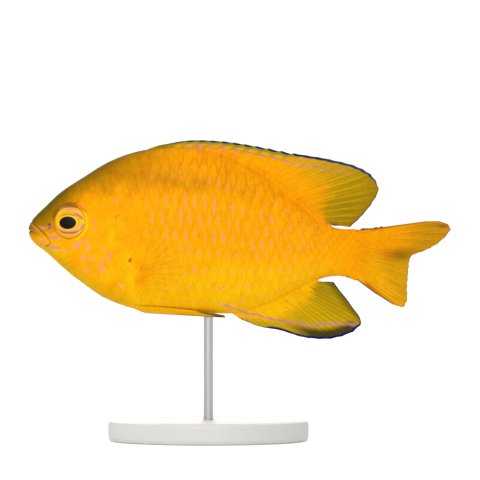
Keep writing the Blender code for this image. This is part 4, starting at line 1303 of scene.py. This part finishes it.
def build_foot_scales():
    """The scaly feet of the dorsal, anal and tail fins, on both faces."""
    made = []
    fins = (("dorsal", DORSAL_RAYS, dorsal_form, dorsal_paint, DORSAL_SCALED),
            ("anal", ANAL_RAYS, anal_form, anal_paint, ANAL_SCALED),
            ("tail", CAUDAL_RAYS, caudal_form, caudal_paint, TAIL_SCALED))
    for name, rays, form, paint, scaled in fins:
        rows = foot_rows(form[0], rays, scaled)
        for hand, word in SIDES:
            def colours(number, reach, points, paint=paint):
                return paint(number, reach)

            def unwrap(number, reach, rays=rays, hand=hand):
                return np.stack([number / rays / 2 + (hand > 0) / 2, reach], 1)

            made.append(lay_scales(f"{name}_foot_scales_{word}", rows, on_sheet(form, hand), colours, unwrap,
                                   FOOT_PATTERN))
    return made


def eye_paint(points):
    """A yellow iris with a bright ring round the pupil, and the violet and pink marks across it."""
    behind, _, above = np.moveaxis(points, -1, 0)
    out = np.hypot((behind - PUPIL_AT[0]) / PUPIL_RADII[0], (above - PUPIL_AT[1]) / PUPIL_RADII[1])
    rim = np.hypot((behind - EYE_RIM_AT[0]) / EYE_RIM_RADII[0], (above - EYE_RIM_AT[1]) / EYE_RIM_RADII[1])
    turn = np.arctan2(above - PUPIL_AT[1], behind - PUPIL_AT[0])
    iris = mix(IRIS_YELLOW, RING_YELLOW, smooth(2.0, 2.6, eye_distance(points)))
    iris = iris * (1 + 0.08 * mottle(turn * 9 + 30, out * 1.5, 1.0, 61))[..., None]
    marks = [(mark, strength * hump(from_curve(behind, above, line), width))
             for line, width, mark, strength in EYE_MARKS]
    bright = 0.9 * fall(1.1, 1.28, out) * (0.5 + 0.5 * smooth(-0.6, 0.6, behind - PUPIL_AT[0]))
    colour = layered(
        iris, *marks,
        (mix(BROW_GOLD, CHEEK_GOLD, smooth(1.2, -1.2, above)), smooth(0.93, 1.03, rim)),
        (ROSE, 0.6 * hump(above - 3.85, 0.25)),
        (BROW, 0.8 * smooth(3.9, 4.3, above)),
        (PUPIL_RING, bright))
    return mix(PUPIL, colour, smooth(0.96, 1.05, out))


def build_eye(word, hand):
    """A low dome of an eye, closed behind by a shallow bowl inside the head."""
    up = unit(np.cross(EYE_OUT, [1.0, 0, 0]))
    ahead = np.cross(up, EYE_OUT)
    turn = np.arange(EYE_SIDES) * math.tau / EYE_SIDES
    polar = np.linspace(0, math.pi, 2 * EYE_RINGS + 1)[1:-1, None]
    flat = EYE_RADIUS * np.sin(polar)
    deep = np.where(polar < math.pi / 2, EYE_DOME - EYE_EDGE, EYE_BOWL)
    rise = EYE_EDGE + deep * np.cos(polar) + 0 * turn
    spokes = np.cos(turn)[None, :, None] * ahead + np.sin(turn)[None, :, None] * up
    rings = EYE_MIDDLE + flat[..., None] * spokes + rise[..., None] * EYE_OUT
    points = with_ends(EYE_MIDDLE + EYE_OUT * EYE_DOME, rings, EYE_MIDDLE + EYE_OUT * (EYE_EDGE - EYE_BOWL))
    piece = add_object("eyeball_" + word, world(points * [1, hand, 1]), closed_tube(len(rings), EYE_SIDES))
    give_colours(piece, eye_paint(points))
    return piece


def node(tree, kind, inputs=None, **settings):
    """A shader node with its settings, and with its inputs linked or set."""
    made = tree.nodes.new("ShaderNode" + kind)
    for key, value in settings.items():
        setattr(made, key, value)
    for key, value in (inputs or {}).items():
        if isinstance(value, bpy.types.NodeSocket):
            tree.links.new(value, made.inputs[key])
        else:
            made.inputs[key].default_value = value
    return made


def start_material(name, **plain):
    """A Principled material with its plain numbers set, as (material, tree, shader)."""
    made = bpy.data.materials.new(name)
    made.use_nodes = True
    shader = made.node_tree.nodes["Principled BSDF"]
    for key, value in plain.items():
        shader.inputs[key.replace("_", " ")].default_value = value
    return made, made.node_tree, shader


def wire(tree, shader, colour, roughness, normal=None):
    """Links a colour, a roughness and a bumped normal to the shader."""
    for key, value in (("Base Color", colour), ("Roughness", roughness), ("Normal", normal)):
        if value:
            tree.links.new(value, shader.inputs[key])


def maths(tree, operation, first, second=0.0, third=0.0):
    return node(tree, "Math", {0: first, 1: second, 2: third}, operation=operation).outputs[0]


def times(tree, first, *others):
    """The product of some values."""
    for other in others:
        first = maths(tree, "MULTIPLY", first, other)
    return first


def length_of(tree, first, second):
    """How long the way is that goes first one way and then across it."""
    squares = [maths(tree, "POWER", part, 2.0) for part in (first, second)]
    return maths(tree, "SQRT", maths(tree, "ADD", *squares))


def ramp(tree, value, low, high, start=0.0, end=1.0):
    """A smooth step from start to end while the value goes from low to high."""
    ends = {"From Min": low, "From Max": high, "To Min": start, "To Max": end}
    return node(tree, "MapRange", {"Value": value, **ends}, interpolation_type="SMOOTHSTEP").outputs[0]


def noise(tree, scale, detail=3.0, roughness=0.55, stretch=None):
    """Noise in the object's own coordinates; the scale is per metre."""
    place = node(tree, "TexCoord").outputs["Object"]
    if stretch:
        place = node(tree, "Mapping", {"Vector": place, "Scale": stretch}).outputs[0]
    inputs = {"Vector": place, "Scale": scale, "Detail": detail, "Roughness": roughness}
    return node(tree, "TexNoise", inputs).outputs[0]


def tinted(tree, colour, other, share, blend="MIX"):
    """The colour mixed with another one, which is given as three numbers."""
    inputs = {0: share, 6: colour, 7: (*other, 1)}
    return node(tree, "Mix", inputs, data_type="RGBA", blend_type=blend).outputs[2]


def bumped(tree, height, distance, strength=1.0, under=None):
    """A normal with bumps of a height, on top of the bumps under it."""
    inputs = {"Height": height, "Distance": distance, "Strength": strength}
    if under:
        inputs["Normal"] = under
    return node(tree, "Bump", inputs).outputs[0]


def attribute(tree, name, output="Fac"):
    return node(tree, "Attribute", attribute_name=name).outputs[output]


def numbers(tree, name):
    """The three numbers that a vector attribute holds."""
    return node(tree, "SeparateXYZ", {0: attribute(tree, name, "Vector")}).outputs


def speckled(tree, shade, share):
    """The paint on the piece, multiplied by a shade where the share says so."""
    return tinted(tree, attribute(tree, "paint", "Color"), shade, share, "MULTIPLY")


def skin_material():
    """The painted skin with faint specks and fine bumps."""
    made, tree, shader = start_material("skin", Specular_IOR_Level=0.03, IOR=1.4)
    fine = ramp(tree, noise(tree, 2600), 0.5, 0.8, 0.0, 0.16)
    rough = ramp(tree, noise(tree, 700), 0.3, 0.7, 0.45, 0.6)
    normal = bumped(tree, noise(tree, 3800, 2.0), 0.00003, 0.5)
    wire(tree, shader, speckled(tree, (0.6, 0.46, 0.3), fine), rough, normal)
    return made


def pink_dash(tree, along, up, chance):
    """How pink a place on a scale is: a leaning dash with ragged edges, parted in two on some scales."""
    strength, length, gap = numbers(tree, "dash_form")
    at, centre, slant = numbers(tree, "dash_middle")
    from_centre = maths(tree, "SUBTRACT", up, centre)
    wobble = ramp(tree, noise(tree, 1300, 2.0), 0.3, 0.7, -0.12, 0.12)
    leaned = maths(tree, "MULTIPLY_ADD", slant, from_centre, at)
    off = maths(tree, "ABSOLUTE", maths(tree, "SUBTRACT", maths(tree, "ADD", along, wobble), leaned))
    high = maths(tree, "DIVIDE", maths(tree, "ABSOLUTE", from_centre), maths(tree, "MAXIMUM", length, 0.01))
    taper = times(tree, ramp(tree, high, 0.3, 1.2, 1.0, 0.5), ramp(tree, chance, 0.0, 1.0, 0.6, 1.1))
    narrow = maths(tree, "DIVIDE", off, taper)
    ragged = ramp(tree, noise(tree, 1500, 1.0), 0.36, 0.48, 0.25, 1.0)
    whole = maths(tree, "SUBTRACT", 1.0, times(tree, ramp(tree, high, 0.3, 0.08), gap))
    return times(tree, ramp(tree, narrow, DASH_HALF * 1.8, DASH_HALF * 0.3), ramp(tree, high, 1.25, 0.75),
                 strength, ragged, whole)


def scale_material():
    """A scale: its dash, its darker free edge, and fine ridges that fan out to that edge."""
    made, tree, shader = start_material("scales", Specular_IOR_Level=0.03, IOR=1.4)
    along, up, chance = numbers(tree, "scale_place")
    free = times(tree, ramp(tree, length_of(tree, along, up), 0.7, 0.97), ramp(tree, along, 0.1, 0.5))
    colour = speckled(tree, (0.52, 0.46, 0.5), times(tree, free, attribute(tree, "edge")))
    grain = ramp(tree, noise(tree, 2200), 0.5, 0.8, 0.0, 0.1)
    pore_off = length_of(tree, maths(tree, "SUBTRACT", along, PORE_AT), up)
    pore = times(tree, ramp(tree, pore_off, 0.16, 0.07), attribute(tree, "canal"), 0.15)
    for tone, share in (((0.8, 0.64, 0.5), grain), ((1.0, 0.985, 0.98), chance)):
        colour = tinted(tree, colour, tone, share, "MULTIPLY")
    for share in (pink_dash(tree, along, up, chance), pore):
        colour = tinted(tree, colour, PINK, share)
    fan = maths(tree, "ARCTAN2", up, maths(tree, "ADD", along, 1.3))
    ridge = maths(tree, "SINE", times(tree, fan, 90.0))
    normal = bumped(tree, noise(tree, 3200, 2.0), 0.00002, 0.4, bumped(tree, ridge, 0.00001, 0.35))
    wire(tree, shader, colour, ramp(tree, noise(tree, 900), 0.3, 0.7, 0.42, 0.58), normal)
    return made


def fin_material(name, clear=None):
    """Membrane and rays with fine cross joints. A clear one gives (membrane, rays, foot) opacity."""
    made, tree, shader = start_material(name, Specular_IOR_Level=0.05, IOR=1.4)
    _, reach, rib = numbers(tree, "ray_place")
    grain = noise(tree, 1800)
    joints = times(tree, maths(tree, "SINE", times(tree, reach, 260.0)), rib)
    normal = bumped(tree, noise(tree, 4200, 2.0), 0.00002, 0.4, bumped(tree, joints, 0.00002, 0.4))
    wire(tree, shader, speckled(tree, (0.66, 0.54, 0.4), ramp(tree, grain, 0.45, 0.8, 0.0, 0.2)),
         ramp(tree, grain, 0.3, 0.7, 0.42, 0.58), normal)
    if clear:
        membrane, rays, foot = clear
        veil = times(tree, ramp(tree, rib, 0.1, 0.8, membrane, rays), ramp(tree, reach, 0.2, 1.0, 1.0, 0.4),
                     ramp(tree, reach, 0.0, 0.16, 0.15, 1.0))
        solid = maths(tree, "MAXIMUM", veil, ramp(tree, reach, 0.3, 0.0, 0.0, foot))
        tree.links.new(solid, shader.inputs["Alpha"])
    return made


def eye_material():
    """The painted eye under a thin gloss."""
    made, tree, shader = start_material("eye", Specular_IOR_Level=0.1, Coat_Weight=0.03, Coat_Roughness=0.05)
    fine = ramp(tree, noise(tree, 3000), 0.45, 0.75, 0.0, 0.2)
    rough = ramp(tree, noise(tree, 1500), 0.3, 0.7, 0.25, 0.4)
    wire(tree, shader, speckled(tree, (0.75, 0.6, 0.4), fine), rough)
    return made


def steel_material():
    """Steel turned and brushed along the rod."""
    made, tree, shader = start_material("brushed_rod", Metallic=1.0)
    streak = noise(tree, 900, 4.0, 0.6, (6.0, 6.0, 0.15))
    wire(tree, shader, tinted(tree, (0.46, 0.47, 0.49, 1), (0.7, 0.71, 0.72), streak),
         ramp(tree, streak, 0.3, 0.7, 0.24, 0.4), bumped(tree, streak, 0.00001, 0.5))
    return made


def paint_material():
    """Satin paint with a faint orange peel and a few worn specks."""
    made, tree, shader = start_material("satin_paint", Specular_IOR_Level=0.35)
    cloud = noise(tree, 60)
    specks = ramp(tree, noise(tree, 1400, 2.0), 0.68, 0.75, 0.0, 0.3)
    colour = tinted(tree, (0.74, 0.74, 0.72, 1), (0.69, 0.69, 0.67), cloud)
    worn = tinted(tree, colour, (0.52, 0.52, 0.5), specks)
    normal = bumped(tree, noise(tree, 1500, 2.0), 0.00003, 0.35)
    wire(tree, shader, worn, ramp(tree, cloud, 0.3, 0.7, 0.38, 0.5), normal)
    return made


def finish_piece(piece, material, slot, *solids):
    """Gives a piece its material and body, and hides the solids that it replaces. The slot is not used."""
    piece.data.materials.append(material)
    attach(piece, "root")
    if solids:
        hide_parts(*solids)


def dress():
    """Builds every piece of the fish, and gives the stand's solids their materials."""
    finish_piece(build_skin(), skin_material(), "skin", "head", "torso", "tail_stalk", "upper_lip",
                 "lower_jaw", "gill_cover_left", "gill_cover_right")
    scales = scale_material()
    for piece in build_scales():
        finish_piece(piece, scales, "skin")
    for piece in build_foot_scales():
        finish_piece(piece, scales, "fin")
    sail = fin_material("fin")
    clear = fin_material("clear_fin", CLEAR_OPACITY)
    for piece, solid in build_fins():
        is_clear = solid.startswith("pectoral")
        finish_piece(piece, clear if is_clear else sail, "clear_fin" if is_clear else "fin", solid)
    glossy = eye_material()
    for hand, word in SIDES:
        finish_piece(build_eye(word, hand), glossy, "eye", "eye_" + word)
    for name, made in (("stand_rod", steel_material()), ("stand_base", paint_material())):
        mesh = frame["nodes"][name].data
        mesh.materials.clear()
        mesh.materials.append(made)


def add_sun(name, azimuth, elevation, strength, spread):
    """A very soft sun. Azimuth 0 shines from behind the camera, and grows towards the camera's left."""
    lamp = bpy.data.lights.new(name, "SUN")
    lamp.energy = strength * math.pi
    lamp.angle = math.radians(spread)
    light = bpy.data.objects.new(name, lamp)
    bpy.context.scene.collection.objects.link(light)
    light.rotation_euler = (math.radians(90 - elevation), 0, math.radians(-azimuth))


def seen_as(tree, plain, seen, output):
    """One shader for the light that it gives, and another where the camera looks at it."""
    pick = node(tree, "MixShader", {0: node(tree, "LightPath").outputs["Is Camera Ray"]})
    tree.links.new(plain, pick.inputs[1])
    tree.links.new(seen, pick.inputs[2])
    tree.links.new(pick.outputs[0], tree.nodes[output].inputs["Surface"])


def lay_floor():
    """A plain pale floor that glows a little to the eye."""
    bpy.ops.mesh.primitive_circle_add(vertices=128, radius=FLOOR_RADIUS * MM, fill_type="NGON")
    floor = bpy.context.object
    floor.name = "floor"
    made, tree, shader = start_material("floor", Roughness=0.9, Specular_IOR_Level=0.0)
    tone = ramp(tree, noise(tree, 40), 0.3, 0.7)
    pale = tinted(tree, (0.79, 0.79, 0.79, 1), (0.81, 0.81, 0.81), tone)
    tree.links.new(pale, shader.inputs["Base Color"])
    lit = []
    for strength in (FLOOR_LIGHT, FLOOR_GLOW):
        glow = node(tree, "Emission", {"Color": (1, 1, 1, 1), "Strength": strength})
        lit.append(node(tree, "AddShader", {0: shader.outputs[0], 1: glow.outputs[0]}).outputs[0])
    seen_as(tree, *lit, "Material Output")
    floor.data.materials.append(made)


def light_room():
    """Soft white light from all round, and wide soft suns on both sides."""
    for sun in SUNS:
        add_sun(*sun)
    sky = bpy.data.worlds.new("white_room")
    sky.use_nodes = True
    tree = sky.node_tree
    room = tree.nodes["Background"]
    room.inputs["Color"].default_value = (1, 1, 1, 1)
    room.inputs["Strength"].default_value = SKY_STRENGTH
    seen = node(tree, "Background", {"Color": (1, 1, 1, 1), "Strength": SKY_SEEN})
    seen_as(tree, room.outputs[0], seen.outputs[0], "World Output")
    bpy.context.scene.world = sky
    bpy.context.scene.view_settings.view_transform = "Standard"


def set_camera():
    """A level camera with a lens that shows the photo's width at the fish."""
    lens = bpy.data.cameras.new("camera")
    lens.sensor_width = SENSOR
    lens.lens = SENSOR * CAMERA_AWAY / FRAME_WIDTH
    lens.clip_start = 0.01
    lens.clip_end = 20
    camera = bpy.data.objects.new("camera", lens)
    bpy.context.scene.collection.objects.link(camera)
    camera.location = (0, -CAMERA_AWAY * MM, FRAME_MIDDLE * MM)
    camera.rotation_euler = (math.pi / 2, 0, 0)
    bpy.context.scene.camera = camera


set_camera()
dress()
lay_floor()
light_room()
